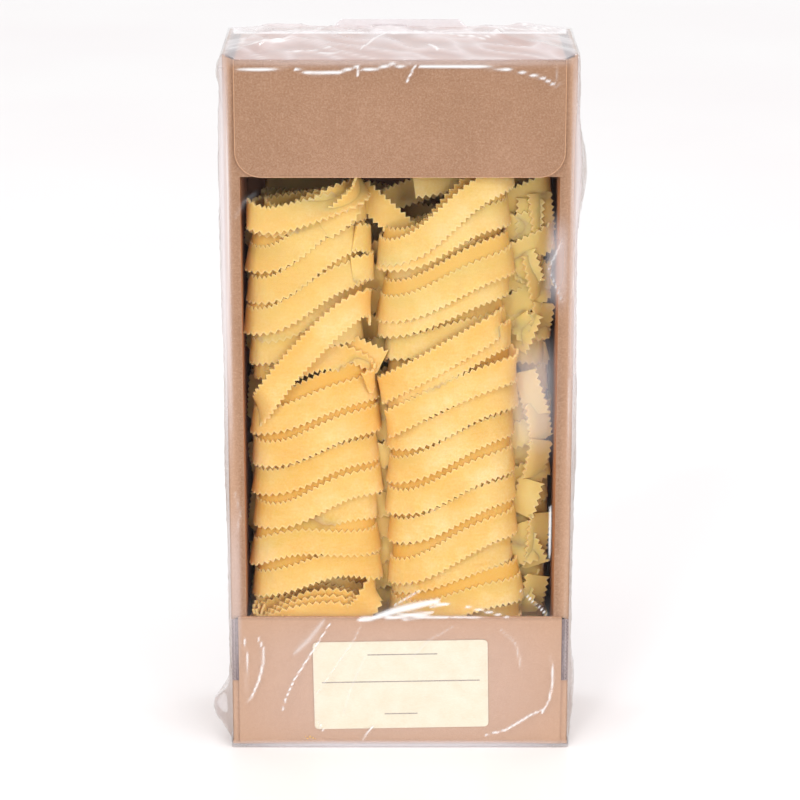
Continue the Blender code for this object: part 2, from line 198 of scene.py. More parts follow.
def makeEggPasta():
    # Air-dried egg pasta, rolled and cut with a zigzag wheel: matt, floury at its cut edges, warm within.
    # The flour is drawn coarser than it is, and the roller's streaks run level, as the turns nearly do.
    made, add = startMaterial("rolledEggPasta")
    known = {}
    for name in ("across", "tint", "paintedDimShade"):
        known[name] = add("ShaderNodeAttribute", out="Fac", attribute_name=name)
    flour = grain(add, 1.3, 4, 0.7)
    rolled = grain(add, (0.26, 0.26, 0.9), 3, distortion=0.8)
    workOut(add, known, (("off", "ABSOLUTE", "across"), ("relief", "ADD", flour, rolled)))
    # Painted shade: the upper half of a turn lies in under the next one and is painted a deeper amber for the
    # shade it sits in there
    paintedTuckShade = add("ShaderNodeMapRange", (known["across"], -0.3, 0.9, 0, 0.42))
    edge = add("ShaderNodeMapRange", (known["off"], 0.8, 1, 0, 0.35))
    colour = layered(add, (
        (1, grain(add, 0.06, 4, 0.55), (0.34, "#E8B257"), (0.50, "#EFC06B"), (0.66, "#F7D292")),
        (0.20, flour, (0.36, "#E0AC56"), (0.66, "#FBEBC4")),
        (0.14, rolled, (0.36, "#F0BE66"), (0.66, "#FFE4AE")),
        # painted shade: ribbons lying behind others are mixed towards a deeper amber
        (paintedTuckShade, "#E3AF4A"), (known["tint"], "#E6AB48"), (known["paintedDimShade"], "#E6CB80"), (edge, "#FFE6B4"),
    ))
    endMaterial(add, colour, 0.62, known["relief"], 0.00007, 0.8, {
        "Specular IOR Level": 0.3, "Subsurface Weight": 0.4, "Subsurface Radius": (0.0034, 0.0018, 0.0005),
        "Subsurface Scale": 1.0,
    })
    return made


def makeWrapFilm():
    # Clear polypropylene film, heat sealed and drawn tight: glossy and nearly invisible. Its creases are
    # white, partly from real stress whitening and partly as a painted highlight, and pale patches of white
    # haze carry painted sheen and painted light
    made, add = startMaterial("clearPolypropyleneFilm")
    creaseWhiteAndGlint, veil = [add("ShaderNodeAttribute", out="Fac", attribute_name=name) for name in ("creaseWhiteAndGlint", "veil")]
    normal = add("ShaderNodeBump", {
        "Height": grain(add, (0.09, 0.09, 0.0315), 3), "Distance": 0.0003, "Strength": 0.3,
    })
    known = {"mirror": add("ShaderNodeFresnel", {"IOR": 1.22, "Normal": normal})}
    workOut(add, known, (
        ("folded", "MULTIPLY", creaseWhiteAndGlint, 0.3), ("mirror", "ADD", "mirror", "folded"),
        ("mirror", "MINIMUM", "mirror", 0.5),
    ))
    sheet = add("ShaderNodeBsdfTransparent", {"Color": (0.99, 0.985, 0.985, 1.0)})
    gloss = add("ShaderNodeBsdfGlossy", {"Color": "#FFFFFF", "Roughness": 0.09, "Normal": normal})
    # Painted sheen and painted light: a pale diffuse layer laid over the film where the veil attribute says,
    # partly real haze
    hazeAndSheen = add("ShaderNodeBsdfDiffuse", {"Color": "#F4ECEF"})
    # Painted highlight: a flat white laid along the creases, partly real stress whitening
    whiteningAndGlint = add("ShaderNodeBsdfDiffuse", {"Color": "#FFFFFF"})
    whiteningAndGlintShare = add("ShaderNodeMapRange", (creaseWhiteAndGlint, 0.25, 1, 0, 0.85))
    for share, over in ((veil, hazeAndSheen), (whiteningAndGlintShare, whiteningAndGlint), (known["mirror"], gloss)):
        sheet = add("ShaderNodeMixShader", (share, sheet, over))
    add("ShaderNodeOutputMaterial", {"Surface": sheet}, None)
    return made


kraftBoard = makeKraftBoard()
cutBoard = makeCutBoard()
fluteMediumInShade = makeFluteMedium()
labelPaper = makeLabelPaper()
ruleInk = makeRuleInk()
eggPasta = makeEggPasta()
wrapFilm = makeWrapFilm()
print("materials made")


def linkObject(name, mesh):
    made = bpy.data.objects.new(name, mesh)
    bpy.context.scene.collection.objects.link(made)
    return made


def settlePiece(piece, node=None):
    # What the frame has to know of a finished piece
    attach(piece, "root")
    if node:
        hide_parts(node)


def endPiece(shape, name, material, node=None):
    bmesh.ops.recalc_face_normals(shape, faces=shape.faces)
    mesh = bpy.data.meshes.new(name)
    shape.to_mesh(mesh)
    shape.free()
    mesh.materials.append(material)
    settlePiece(linkObject(name, mesh), node)
    return mesh


def makeRibbonTree():
    # A flat ribbon with zigzag edges along every line, facing the way that the line's points say
    tree = bpy.data.node_groups.new("zigzagRibbon", "GeometryNodeTree")
    tree.interface.new_socket("Geometry", in_out="INPUT", socket_type="NodeSocketGeometry")
    for label, value in (
        ("Width", 0.0103), ("Tooth Pitch", 0.0023), ("Tooth Depth", 0.0012), ("Ruffle", 0.0005),
        ("Ruffle Length", 0.009), ("Seed", 0.0),
    ):
        tree.interface.new_socket(label, in_out="INPUT", socket_type="NodeSocketFloat").default_value = value
    tree.interface.new_socket("Material", in_out="INPUT", socket_type="NodeSocketMaterial")
    tree.interface.new_socket("Geometry", in_out="OUTPUT", socket_type="NodeSocketGeometry")
    add = partial(addNode, tree)
    known = dict(add("NodeGroupInput", out=None).items())
    known["index"] = add("GeometryNodeInputIndex")
    workOut(add, known, (
        ("half", "MULTIPLY", "Tooth Pitch", 0.5), ("sign", "MODULO", "index", 2),
        ("sign", "MULTIPLY", "sign", 2), ("sign", "SUBTRACT", "sign", 1),
    ))
    line = add("GeometryNodeMeshToCurve", {"Mesh": known["Geometry"]})
    line = add("GeometryNodeResampleCurve", {"Curve": line, "Length": known["half"]}, mode="LENGTH")
    profile = add("GeometryNodeCurvePrimitiveLine", {"Start": (-1.0, 0.0, 0.0), "End": (1.0, 0.0, 0.0)})
    profile = add("GeometryNodeResampleCurve", {"Curve": profile, "Count": 5}, mode="COUNT")
    place = add("GeometryNodeInputPosition")
    parts = {"line": line, "profile": profile}
    for part, name, kind, value in (
        ("line", "pathPlace", "FLOAT_VECTOR", place),
        ("line", "pathAlong", "FLOAT_VECTOR", add("GeometryNodeInputTangent")),
        ("line", "tooth", "FLOAT", known["sign"]),
        ("line", "run", "FLOAT", add("GeometryNodeSplineParameter", out="Length")),
        ("profile", "across", "FLOAT", add("ShaderNodeSeparateXYZ", (place,))),
    ):
        parts[part] = add("GeometryNodeStoreNamedAttribute", {
            "Geometry": parts[part], "Name": name, "Value": value,
        }, data_type=kind, domain="POINT")
    sheet = add("GeometryNodeCurveToMesh", {"Curve": parts["line"], "Profile Curve": parts["profile"]})

    for name in ("across", "tooth", "run", "tint", "outward", "pathAlong", "pathPlace"):
        kind = "FLOAT_VECTOR" if name.startswith(("path", "out")) else "FLOAT"
        known[name] = add("GeometryNodeInputNamedAttribute", {"Name": name}, "Attribute", data_type=kind)
    workOut(add, known, (
        ("body", "SUBTRACT", "Width", "Tooth Depth"), ("body", "MULTIPLY", "body", 0.5),
        ("off", "ABSOLUTE", "across"), ("atEdge", "GREATER_THAN", "off", 0.9),
        ("zigzag", "MULTIPLY", "Tooth Depth", 0.5), ("zigzag", "MULTIPLY", "zigzag", "atEdge"),
        ("zigzag", "MULTIPLY", "tooth", "zigzag"),
        ("reach", "MULTIPLY", "across", "body"), ("reach", "ADD", "reach", "zigzag"),
        ("run", "DIVIDE", "run", "Ruffle Length"), ("drift", "MULTIPLY", "across", 0.8),
        ("calm", "MULTIPLY", "tint", 1.1), ("calm", "SUBTRACT", 1, "calm"), ("calm", "MAXIMUM", "calm", 0.1),
    ))
    # Each edge waves in and out on its own, and the middle hardly at all
    waveAt = add("ShaderNodeCombineXYZ", (known["run"], known["drift"], known["Seed"]))
    known["wave"] = add("ShaderNodeTexNoise", {"Vector": waveAt, "Scale": 1, "Detail": 1})
    workOut(add, known, (
        ("wave", "SUBTRACT", "wave", 0.5), ("wave", "MULTIPLY", "wave", 2), ("push", "ADD", 0.3, "off"),
        ("push", "MULTIPLY", "wave", "push"), ("push", "MULTIPLY", "push", "Ruffle"),
        ("push", "MULTIPLY", "push", "calm"),
    ))
    workOut(add, known, (
        ("outward", "NORMALIZE", "outward"), ("ahead", "NORMALIZE", "pathAlong"),
        ("upward", "CROSS_PRODUCT", "outward", "ahead"), ("upward", "NORMALIZE", "upward"),
        ("upward", "SCALE", "upward", "reach"), ("moved", "ADD", "pathPlace", "upward"),
        ("outward", "SCALE", "outward", "push"), ("moved", "ADD", "moved", "outward"),
    ), "ShaderNodeVectorMath")
    sheet = add("GeometryNodeSetPosition", {"Geometry": sheet, "Position": known["moved"]})
    sheet = add("GeometryNodeRealizeInstances", {"Geometry": sheet})
    sheet = add("GeometryNodeSetMaterial", {"Geometry": sheet, "Material": known["Material"]})
    add("NodeGroupOutput", {"Geometry": sheet}, None)
    return tree


ribbonTree = makeRibbonTree()

pasta = {
    "width": 10.5, "thickness": 0.9, "toothPitch": 2.3, "toothDepth": 1.25,
    "ruffle": 0.55, "ruffleLength": 9.0,
    # How a turn leans over the one below, in degrees, how it wanders in and out, to the side and in its
    # lean, and how deep its S is
    "shingle": 7.5, "sway": 0.5, "sideShift": 0.7, "leanSway": 5.0, "swing": 1.8,
    "turnSteps": 64, "sharpAngle": 38.0,
}


def setInput(modifier, label, value):
    for item in modifier.node_group.interface.items_tree:
        if item.item_type == "SOCKET" and item.name == label and item.in_out == "INPUT":
            modifier[item.identifier] = value


def bakePiece(source, name):
    # The evaluated object as a plain mesh of its own, and its source removed
    graph = bpy.context.evaluated_depsgraph_get()
    mesh = bpy.data.meshes.new_from_object(source.evaluated_get(graph))
    mesh.name = name
    spent = source.data
    bpy.data.objects.remove(source)
    bpy.data.meshes.remove(spent)
    return linkObject(name, mesh)


def chainMesh(name, chains, paintedDimShade):
    # Open lines of edges; each point carries the way its ribbon faces and how much painted shade and random
    # deeper tone its colour takes
    points, edges, facing, shadesAndTones = [], [], [], []
    for chain, tint in chains:
        first = len(points)
        for place, outward in chain:
            points.append(place * mm)
            facing += [*outward]
            # painted shade by the ribbon's layer, plus random patches of deeper tone
            shadesAndTones.append(tint + (0.62 - 0.5 * tint) * max(0.0, noise.noise(place * 0.05) + 0.2))
        edges += [(i, i + 1) for i in range(first, len(points) - 1)]
    mesh = bpy.data.meshes.new(name)
    mesh.from_pydata(points, edges, [])
    mesh.attributes.new("outward", "FLOAT_VECTOR", "POINT").data.foreach_set("vector", facing)
    mesh.attributes.new("tint", "FLOAT", "POINT").data.foreach_set("value", shadesAndTones)
    # painted shade: back-column ribbons, and a little the top nests, get a duller yellow for the shade they
    # lie in
    mesh.attributes.new("paintedDimShade", "FLOAT", "POINT").data.foreach_set("value", [paintedDimShade] * len(points))
    return mesh


def makeRibbons(name, chains, seed, paintedDimShade):
    # All the ribbons of one nest as one mesh with a real thickness
    line = linkObject(name + "Line", chainMesh(name + "Line", chains, paintedDimShade))
    cut = line.modifiers.new("Ribbon", "NODES")
    cut.node_group = ribbonTree
    for label, key in (
        ("Width", "width"), ("Tooth Pitch", "toothPitch"), ("Tooth Depth", "toothDepth"),
        ("Ruffle", "ruffle"), ("Ruffle Length", "ruffleLength"),
    ):
        setInput(cut, label, pasta[key] * mm)
    setInput(cut, "Seed", float(seed))
    setInput(cut, "Material", eggPasta)
    thick = line.modifiers.new("Thickness", "SOLIDIFY")
    thick.thickness = pasta["thickness"] * mm
    thick.offset = 0.0
    made = bakePiece(line, name)
    made.data.shade_smooth()
    made.data.set_sharp_from_angle(angle=math.radians(pasta["sharpAngle"]))
    return made


def loopPlace(angle, halfX, halfY, squareness=2.8):
    # A point of the flattened loop and the way it faces
    c, s = math.cos(angle), math.sin(angle)
    power = 2 / squareness
    x = math.copysign(abs(c) ** power, c)
    y = math.copysign(abs(s) ** power, s)
    facing = Vector((
        math.copysign(abs(x) ** (squareness - 1), x) / halfX,
        math.copysign(abs(y) ** (squareness - 1), y) / halfY, 0.0,
    ))
    return x * halfX, y * halfY, facing.normalized()


def windCoil(middle, half, turns, draw, inset, raised, end, stop):
    # A ribbon wound up a nest: in front each turn follows its own heights, and behind it joins the next turn
    steps = pasta["turnSteps"]
    last = len(turns) - 1
    chain = []
    shifts = [draw.uniform(-pasta["sideShift"], pasta["sideShift"]) for _ in turns]
    seed = draw.uniform(0.0, 90.0)
    for i in range(int(steps * (last + stop)) + 1):
        turn, part = divmod(i, steps)
        if turn > last:
            turn, part = last, steps
        share = part / steps
        left, right, bow, swing, out, lean = turns[turn]
        following = turns[min(turn + 1, last)]
        nextLeft = following[0] if turn < last else (left + pasta["width"] if end is None else end)
        behind = max(0.0, share - 0.5) * 2
        sway = noise.noise(Vector((share * 5.0, turn * 0.7, seed)))
        stand = out + (following[4] - out) * behind - inset + pasta["sway"] * sway
        tilt = lean + (following[5] - lean) * behind + pasta["shingle"] + pasta["leanSway"] * sway
        x, y, facing = loopPlace(math.pi + 2 * math.pi * share, half[0] + stand, half[1] + stand)
        f = (x / (half[0] + stand) + 1) / 2
        if share <= 0.5:
            z = left + (right - left) * f + bow * 4 * f * (1 - f)
            z -= pasta["swing"] * swing * math.sin(2 * math.pi * f)
        else:
            z = right + (nextLeft - right) * (1 - f)
        x += shifts[turn] + (shifts[min(turn + 1, last)] - shifts[turn]) * behind
        tilt = math.radians(tilt)
        outward = facing * math.cos(tilt) + Vector((0.0, 0.0, math.sin(tilt)))
        z += pasta["width"] / 2 + raised + lift
        chain.append((Vector((middle[0] + x, middle[1] + y, z)), outward))
    return chain


def layPass(points, steps=10):
    # A loose pass through a few places: x, y, z of its middle line, the way it faces in degrees, and its lean
    rows = [Vector((x, y, z + lift)) for x, y, z, _, _ in points]
    turns = [(face, lean) for _, _, _, face, lean in points]
    chain = []
    for i in range(len(rows) - 1):
        before = rows[max(i - 1, 0)]
        after = rows[min(i + 2, len(rows) - 1)]
        for k in range(steps + (i == len(rows) - 2)):
            t = k / steps
            place = 0.5 * (
                2 * rows[i] + (rows[i + 1] - before) * t
                + (2 * before - 5 * rows[i] + 4 * rows[i + 1] - after) * t * t
                + (3 * rows[i] - before - 3 * rows[i + 1] + after) * t ** 3
            )
            face = math.radians(turns[i][0] + (turns[i + 1][0] - turns[i][0]) * t)
            lean = math.radians(turns[i][1] + (turns[i + 1][1] - turns[i][1]) * t)
            level = math.cos(lean)
            outward = Vector((math.cos(face) * level, math.sin(face) * level, math.sin(lean)))
            chain.append((place, outward))
    return chain


frontColumn = {"y": -13.2, "halfY": 11.0}

# Each front nest: its middle and half length along X, then its turns from the bottom up. A turn is the
# height of its lower edge at the left and the right end, its bow, its S swing, how far it stands out, its
# lean. "end" is the height at which the last turn comes back to the left behind.
frontNests = {
    "nest_front_left_base": {
        "middleX": -31.8, "halfX": 21.6, "end": 44,
        "turns": (
            (2.2, 2.6, 0, 0, 0, 0), (12.4, 14, 0, 0.5, 0.2, 0), (23, 26, 0, 0.5, 0, 0),
            (33.4, 36.6, 0, 0.5, 0.2, 0),
        ),
    },
    "nest_front_left_middle": {
        "middleX": -30.3, "halfX": 21.9, "end": 122,
        "turns": (
            (54.2, 60.6, 4.4, 0.8, 0.9, 0), (66, 71, 3.8, -0.6, 0.8, 2), (74.5, 84, 1.4, 0.8, -0.9, -3),
            (81.6, 94.2, 0, 1.2, 0.7, 0), (93.6, 106, 0.4, 0.9, 0.1, 2), (104.6, 117.6, -0.4, 0.9, 0.6, -2),
            (116, 129.2, 0.6, 0.6, 0.2, 0),
        ),
    },
    "nest_front_left_top": {
        "middleX": -33.2, "halfX": 20.6, "end": 187,
        "turns": (
            (141.8, 150.6, 0.6, 0.4, -1, 0), (150.4, 163, -0.6, 0.8, -1.4, -4),
            (153.4, 172, -0.6, 1.2, 0.6, 2), (164.8, 184.6, -0.8, 1.4, 0.1, 0),
            (176.2, 194.4, -0.6, 1.5, -0.2, 2), (190.4, 195.5, -0.6, 1, -1.4, 0),
        ),
    },
    "nest_front_right_base": {
        "middleX": 20.8, "halfX": 23.4, "end": 43,
        "turns": (
            (2.2, 2.6, 0, 0, 0, 0), (12.4, 13.4, 0, 0.5, 0.2, 0), (23, 25, 0, 0.5, 0, 0),
            (33.4, 36.6, 0, 0.5, 0.2, 0), (44.6, 52.6, -0.6, 0.8, 0.5, 0),
        ),
    },
    "nest_front_right_middle": {
        "middleX": 18.4, "halfX": 22.2, "end": 126,
        "turns": (
            (55.2, 67.8, 0, 0.4, -1, 0), (59, 78, 0.6, 1, 0.7, 2), (75, 91, 0, 1, 0.2, 0),
            (86.2, 101.6, -0.4, 1, 0.5, 0), (97.4, 115.6, 0.4, 0.8, 0, 2), (110.6, 126.5, -0.4, 1, 0.6, -2),
            (122, 135, 0.4, 0.8, 0.1, 0),
        ),
    },
    "nest_front_right_top": {
        "middleX": 15.8, "halfX": 22.8, "end": 193,
        "turns": (
            (143.8, 152, 0, 0.4, -1.6, 0), (152, 167.6, -0.4, 0.6, -0.2, -2),
            (157.6, 175.4, -0.6, 0.8, 0.8, 2), (169.4, 177, 3, 0.6, -2.6, -3),
            (176.8, 192.6, -0.6, 1.2, -0.2, 2), (178.2, 206.4, -1, 1.6, 1, 0),
        ),
    },
}

# Loose passes: where a ribbon's end was laid across a nest, folded over or left in an open loop
loosePasses = {
    "nest_front_left_middle": {
        "acrossTheFront": (
            (-47, -15, 121, -230, 0), (-50, -18, 123.6, -180, 0), (-49.4, -22, 127.4, -128, 0),
            (-46.2, -25.2, 133.2, -94, 2), (-40.2, -26.2, 141.4, -90, 4), (-32.5, -26.7, 150.2, -90, 4),
            (-24.6, -26.8, 158.4, -90, 2), (-17.6, -26.6, 164.2, -86, 0), (-12.8, -24.6, 166.4, -44, 0),
            (-10.8, -20.4, 165, -4, 0), (-12.4, -15.6, 160.6, 30, 0),
        ),
        "arch": (
            (-12, -24.2, 136.6, -50, 0), (-9.4, -21.4, 139, 0, 0), (-12.4, -19.6, 142.4, 60, 20),
            (-20, -21.6, 145.4, 86, -4), (-28.5, -22.6, 145.8, 92, -8), (-37, -22.4, 142.8, 96, -8),
            (-45, -20, 137, 110, 0),
        ),
        "paleEnd": (
            (-34, -15.5, 156.5, -96, 0), (-24, -18.8, 151.6, -94, 4), (-14, -20.6, 147.2, -86, 6),
            (-6.4, -20.8, 143.6, -78, 8),
        ),
    },
    "nest_front_left_top": {
        "foldedTop": (
            (-53.6, -17, 197.6, -172, 0), (-52.2, -22.4, 197.4, -120, 4), (-46.5, -24.8, 196.2, -90, 12),
            (-39.5, -25, 197.3, -88, 20), (-32, -24.8, 199.3, -88, 34), (-24.5, -24.2, 201.4, -86, 52),
            (-18, -22.8, 203.6, -70, 62), (-14.6, -19, 206.4, -30, 50), (-13.6, -14, 208, 0, 30),
        ),
        "curledEnd": (
            (-27, -24.6, 193.6, -92, 6), (-21.6, -25.4, 197.6, -88, 4), (-17.6, -24.8, 201.6, -66, 0),
            (-15.4, -22.6, 206, -24, 0), (-15.2, -21.4, 211, 0, 0),
        ),
        "outerLoop": (
            (-16, -23, 190, -80, 0), (-12.4, -20.6, 189, -30, 0), (-10.6, -16, 187, 0, 0),
            (-11, -10, 184, 10, 0),
        ),
        "lowerLoop": (
            (-17, -22.6, 178, -80, 0), (-12, -20.6, 178.4, -40, 0), (-9.6, -16, 178, 0, 0),
            (-10.4, -9, 177, 10, 0),
        ),
    },
    "nest_front_right_middle": {
        "acrossTheFront": (
            (-1.5, -13.5, 131, -200, 0), (-6.2, -17, 132.4, -170, 0), (-6, -21.6, 134, -126, 0),
            (0.5, -24.9, 138.2, -94, 4), (9.5, -25.8, 143.4, -90, 4), (19, -26.3, 149.2, -90, 4),
            (27.5, -26.4, 154.4, -88, 2), (33, -25, 157.8, -60, 0), (35.4, -21.4, 158.8, -20, 0),
            (35, -15.6, 157, 10, 0),
        ),
        "underneath": (
            (-4.6, -19.5, 131, -130, 0), (0.5, -23.6, 133.2, -96, 4), (9.5, -24.8, 138.4, -90, 4),
            (19, -25.2, 144.4, -90, 4), (29, -24.8, 150.6, -84, 2), (36.4, -22.4, 153.6, -50, 0),
            (39, -17, 153.4, -8, 0),
        ),
        "openLoop": (
            (-4.4, -19, 120.6, -160, 0), (-2.6, -23.6, 122.4, -112, 2), (8, -25.5, 128.6, -93, 4),
            (20, -25.7, 134.6, -91, 4), (29, -25.5, 138.4, -88, 4), (36.6, -24.6, 141, -72, 4),
            (40.8, -21.4, 142.6, -10, 0), (39, -18.2, 144.6, 66, 0), (32, -17, 145.8, 90, -6),
            (22, -17.4, 144, 94, -8), (10, -17.8, 139, 96, -6), (2, -16, 134, 100, 0),
        ),
    },
    "nest_front_right_top": {
        "diagonal": (
            (-14, -11, 203.6, -110, 0), (-9.4, -14.6, 200.2, -96, 4), (-4, -15.6, 195.4, -92, 6),
            (2.4, -15, 189.4, -88, 0), (8, -12.6, 184, -80, 0),
        ),
        "topPiece": (
            (5, -13.4, 206.6, -100, 0), (10, -14.4, 207.4, -94, 4), (16, -14.4, 208.6, -90, 4),
            (24, -13.6, 210, -84, 0),
        ),
    },
}

# The open loops on top of the left base nest: layers of one ribbon laid in a hairpin
hairpin = {
    "layers": 3, "tipX": -53.2, "tipStep": 1.35, "frontY": -25.6, "frontStep": 1.6, "frontRise": 1.9,
    "backY": -16.4, "backStep": 1.5, "backFall": 2.4,
    "front": (
        (-49.4, 44.3), (-43.3, 46.8), (-38.9, 48.2), (-33.1, 49.4), (-27.3, 50.2), (-22.9, 50),
        (-18.5, 48.9), (-14.2, 51.4), (-11.4, 55.2),
    ),
    "back": ((-47, 52.2), (-40, 55), (-31, 57), (-23, 56.2), (-15, 54)),
    "behind": (
        (-50, -12, 54, -100, 0), (-40, -14.8, 59, -90, 0), (-26, -15.2, 61, -90, 0),
        (-14, -14.4, 57.4, -90, 0), (-9.8, -10, 57, -20, 0),
    ),
}


def layHairpin(layer):
    h = hairpin
    tip = h["tipX"] + h["tipStep"] * layer
    frontY = h["frontY"] + h["frontStep"] * layer
    backY = h["backY"] - h["backStep"] * layer
    points = []
    for x, z in reversed(h["back"]):
        points.append((x - 1.5 * layer, backY, z - h["backFall"] * layer, 90, -3))
    points.append((tip + 2.6, backY - 1.4, 49.0 - 0.6 * layer, 132, 0))
    points.append((tip, (frontY + backY) / 2, 46.6, 180, 0))
    points.append((tip + 1.6, frontY + 1.4, 44.8, 236, 0))
    for x, z in h["front"][:len(h["front"]) - layer]:
        share = min(1.0, (x - tip) / 16.0)
        points.append((x + 0.4 * layer, frontY, z + h["frontRise"] * layer * share, 270, 4))
    if layer == 0:
        points.append((-9.9, frontY + 3.4, 58.6, 318, 4))
        points.append((-9.6, frontY + 9.0, 60.4, 355, 0))
    return layPass(points, 5)


# The back columns: middle and half length along X, the foot and the number of turns at each level, and the
# range of each turn's bow, S swing, standing out and lean
backColumns = {
    "y": 13.4, "halfY": 11.4, "pitch": 11.2, "rise": 6.0,
    "wander": {"bow": (-0.8, 0.8), "swing": (-0.5, 1.0), "out": (-0.8, 0.4), "lean": (-6.0, 4.0)},
    "columns": {"left": (-28.4, 25.0), "right": (27.4, 25.6)},
    "levels": {"base": (1.8, 5), "middle": (57.5, 7), "top": (141.0, 5)}, "leftTop": 10.6,
}

# Bits of the back columns that curl forward at the sides, where the front nests leave a gap
sideCurls = {
    "nest_back_right_top": (
        ((37, -6, 197.5, -96, 0), (44, -7.4, 198.6, -92, 4), (51.5, -6.8, 198, -84, 0)),
        ((38, -3, 209.5, -90, 0), (45, -3.6, 210, -90, 0), (52.5, -3, 209.5, -84, 0)),
        ((40, -8, 187.5, -110, 0), (45, -10, 184, -80, 10), (49, -9, 178, -50, 0)),
        ((39, -11, 179.5, -96, 0), (44, -11.8, 176, -90, 6), (48.5, -9.8, 172.6, -60, 0)),
        ((38, -7, 166, -90, 0), (45, -9, 169.5, -86, 6), (53, -7.6, 173, -76, 0)),
        ((42, -12.5, 158, -120, 0), (45, -13.5, 154, -90, 0), (48, -10.5, 150, -40, 0)),
    ),
    "nest_back_right_middle": (
        ((43, -6, 118, -100, 0), (48.5, -8.6, 117, -80, 8), (53, -5, 116, -20, 0)),
        ((42, -6, 98, -100, 0), (49, -8.8, 96.5, -76, 8), (53.2, -5, 97, -10, 0)),
        ((43, -6, 138, -100, 0), (48, -8, 141, -80, 6), (52.8, -5, 144, -20, 0)),
        ((42, -8, 82, -110, 0), (46, -10, 78, -84, 8), (50.5, -7, 73, -30, 0)),
        ((41, -8, 66, -100, 0), (46, -9.4, 63, -84, 0), (51, -7, 66, -40, 0)),
    ),
    "nest_back_left_middle": (
        ((-53.6, -1, 131, -170, 0), (-52.4, -6, 130, -120, 0), (-46, -8, 127, -90, 0)),
        ((-53.8, 0, 121, -170, 0), (-52.6, -5, 120.5, -120, 0), (-46, -7, 119, -90, 0)),
    ),
}

# The heights that the back columns' loose bits run between at each level, and the left ones' upper limit
fillLevels = {"base": (16.0, 57.0), "middle": (60.0, 136.0), "top": (145.0, 208.0), "leftHigh": 187.0}


def fillStrip(side, level, draw):
    # Ribbons of the back columns that show beside and between the front ones
    low, high = fillLevels[level]
    if side == "left":
        high = min(high, fillLevels["leftHigh"])
    made = []
    z = low
    while z < high:
        slope = draw.uniform(-0.2, 0.75 if side == "right" else 0.4)
        y = draw.uniform(-12.5, -8.0) if side == "right" else draw.uniform(-9.5, -5.5)
        lean = draw.uniform(-6.0, 10.0)
        if side == "right":
            edge = draw.uniform(51.0, 53.6)
            made.append(layPass((
                (33.0, y + 2.0, z - 9 * slope, -96, 0), (41.0, y, z - 2 * slope, -92, lean),
                (48.0, y - 0.6, z + 4 * slope, -84, lean), (edge, y + 1.8, z + 8 * slope, -50, 0),
                (edge + 0.9, y + 7.0, z + 10 * slope, -4, 0), (edge + 0.6, y + 14.0, z + 10 * slope, 6, 0),
            ), 6))
        else:
            made.append(layPass((
                (-42.0, y + 3.0, z, -100, 0), (-49.4, y + 3.4, z - 5 * slope, -116, lean),
                (-53.0, y + 8.0, z - 7 * slope, -170, 0), (-53.4, y + 14.0, z - 8 * slope, -182, 0),
            ), 6))
            made.append(layPass((
                (-22.0, y + 4.0, z - 5.0, -84, 0), (-13.0, y - 0.5, z - 2.0, -88, lean),
                (-6.0, y - 4.5, z + 4 * slope, -90, lean), (2.0, y - 0.5, z + 3.0, -94, 0),
                (10.0, y + 4.0, z + 5.0, -98, 0),
            ), 6))
        z += draw.uniform(8.2, 9.8)
    return made


# Upright ribbon ends in the strips at the two sides: middle x and y, the heights between, the way they face
# in degrees, and their slant
uprightEnds = {
    "nest_back_right_top": (
        (45.8, -12, 185, 201, -90, 0.3), (48.4, -12.6, 166, 181, -50, -1.6),
        (44, -13.6, 147, 160, -115, 2.6), (50.2, -12, 149, 163, -56, 1), (50, -11.6, 188, 203, -60, -1),
        (45.2, -13.4, 171, 182, -104, -1.6),
    ),
    "nest_back_right_middle": (
        (47, -13.4, 122, 138, -110, -2.4), (49.6, -12.6, 98, 112, -58, 1.4),
        (46.4, -12.6, 64, 80, -100, -3.4), (50, -12.2, 112, 126, -60, -1), (45.8, -13.4, 84, 97, -108, 1.8),
        (50.2, -12, 66, 84, -56, 0.8),
    ),
    "nest_back_right_base": ((49, -12.6, 48, 60, -68, 1.2), (45, -13.2, 46, 55, -104, -1)),
    "nest_back_left_base": ((-52.2, -9.4, 44, 58, -150, 0.6),),
    "nest_back_left_middle": (
        (-52.2, -9, 118, 135, -148, 0.6), (-52.2, -9.6, 97, 110, -152, -0.6),
        (-52.2, -9.2, 76, 90, -146, 0.8), (-52.2, -9.4, 62, 72, -150, -0.4),
    ),
    "nest_back_left_top": (
        (-52.3, -9.6, 144, 157, -150, 0.5), (-52.2, -9, 164, 178, -152, -0.5),
        (-52.4, -9.4, 182, 192, -148, 0.4),
    ),
}


# The layers of a nest, from the outer coil inwards: how far in, how far up, where each stops past the last
# turn, and how much painted shade its colour takes, deeper for the layers that lie behind in shade. A foot
# closes the gap below the first turn of some nests.
nestLayers = {
    "front": ((0, 0, 0.95, 0), (1.5, 5.4, 0.5, 0.6), (4.6, 0.8, 0.5, 0.9)),
    "frontTop": ((0, 0, 0.95, 0), (1.5, 5.4, -0.5, 0.6), (4.6, 0.8, 0.5, 0.9)),
    "back": ((0, 0, 0.9, 0.1), (3, 5, 0.1, 0.5)),
    "foot": (1.6, -5.6, 0.9, 0.6),
    "footed": ("nest_front_left_top", "nest_front_right_middle", "nest_front_right_top"),
    # painted shade: how much duller yellow the top nests and the back columns are painted
    "topPaintedDimShade": 0.25, "backPaintedDimShade": 0.75,
}


def finishNest(node, chains, seed, paintedDimShade):
    piece = makeRibbons(node.replace("nest", "pasta"), chains, seed, paintedDimShade)
    settlePiece(piece, node)
    return len(piece.data.polygons)


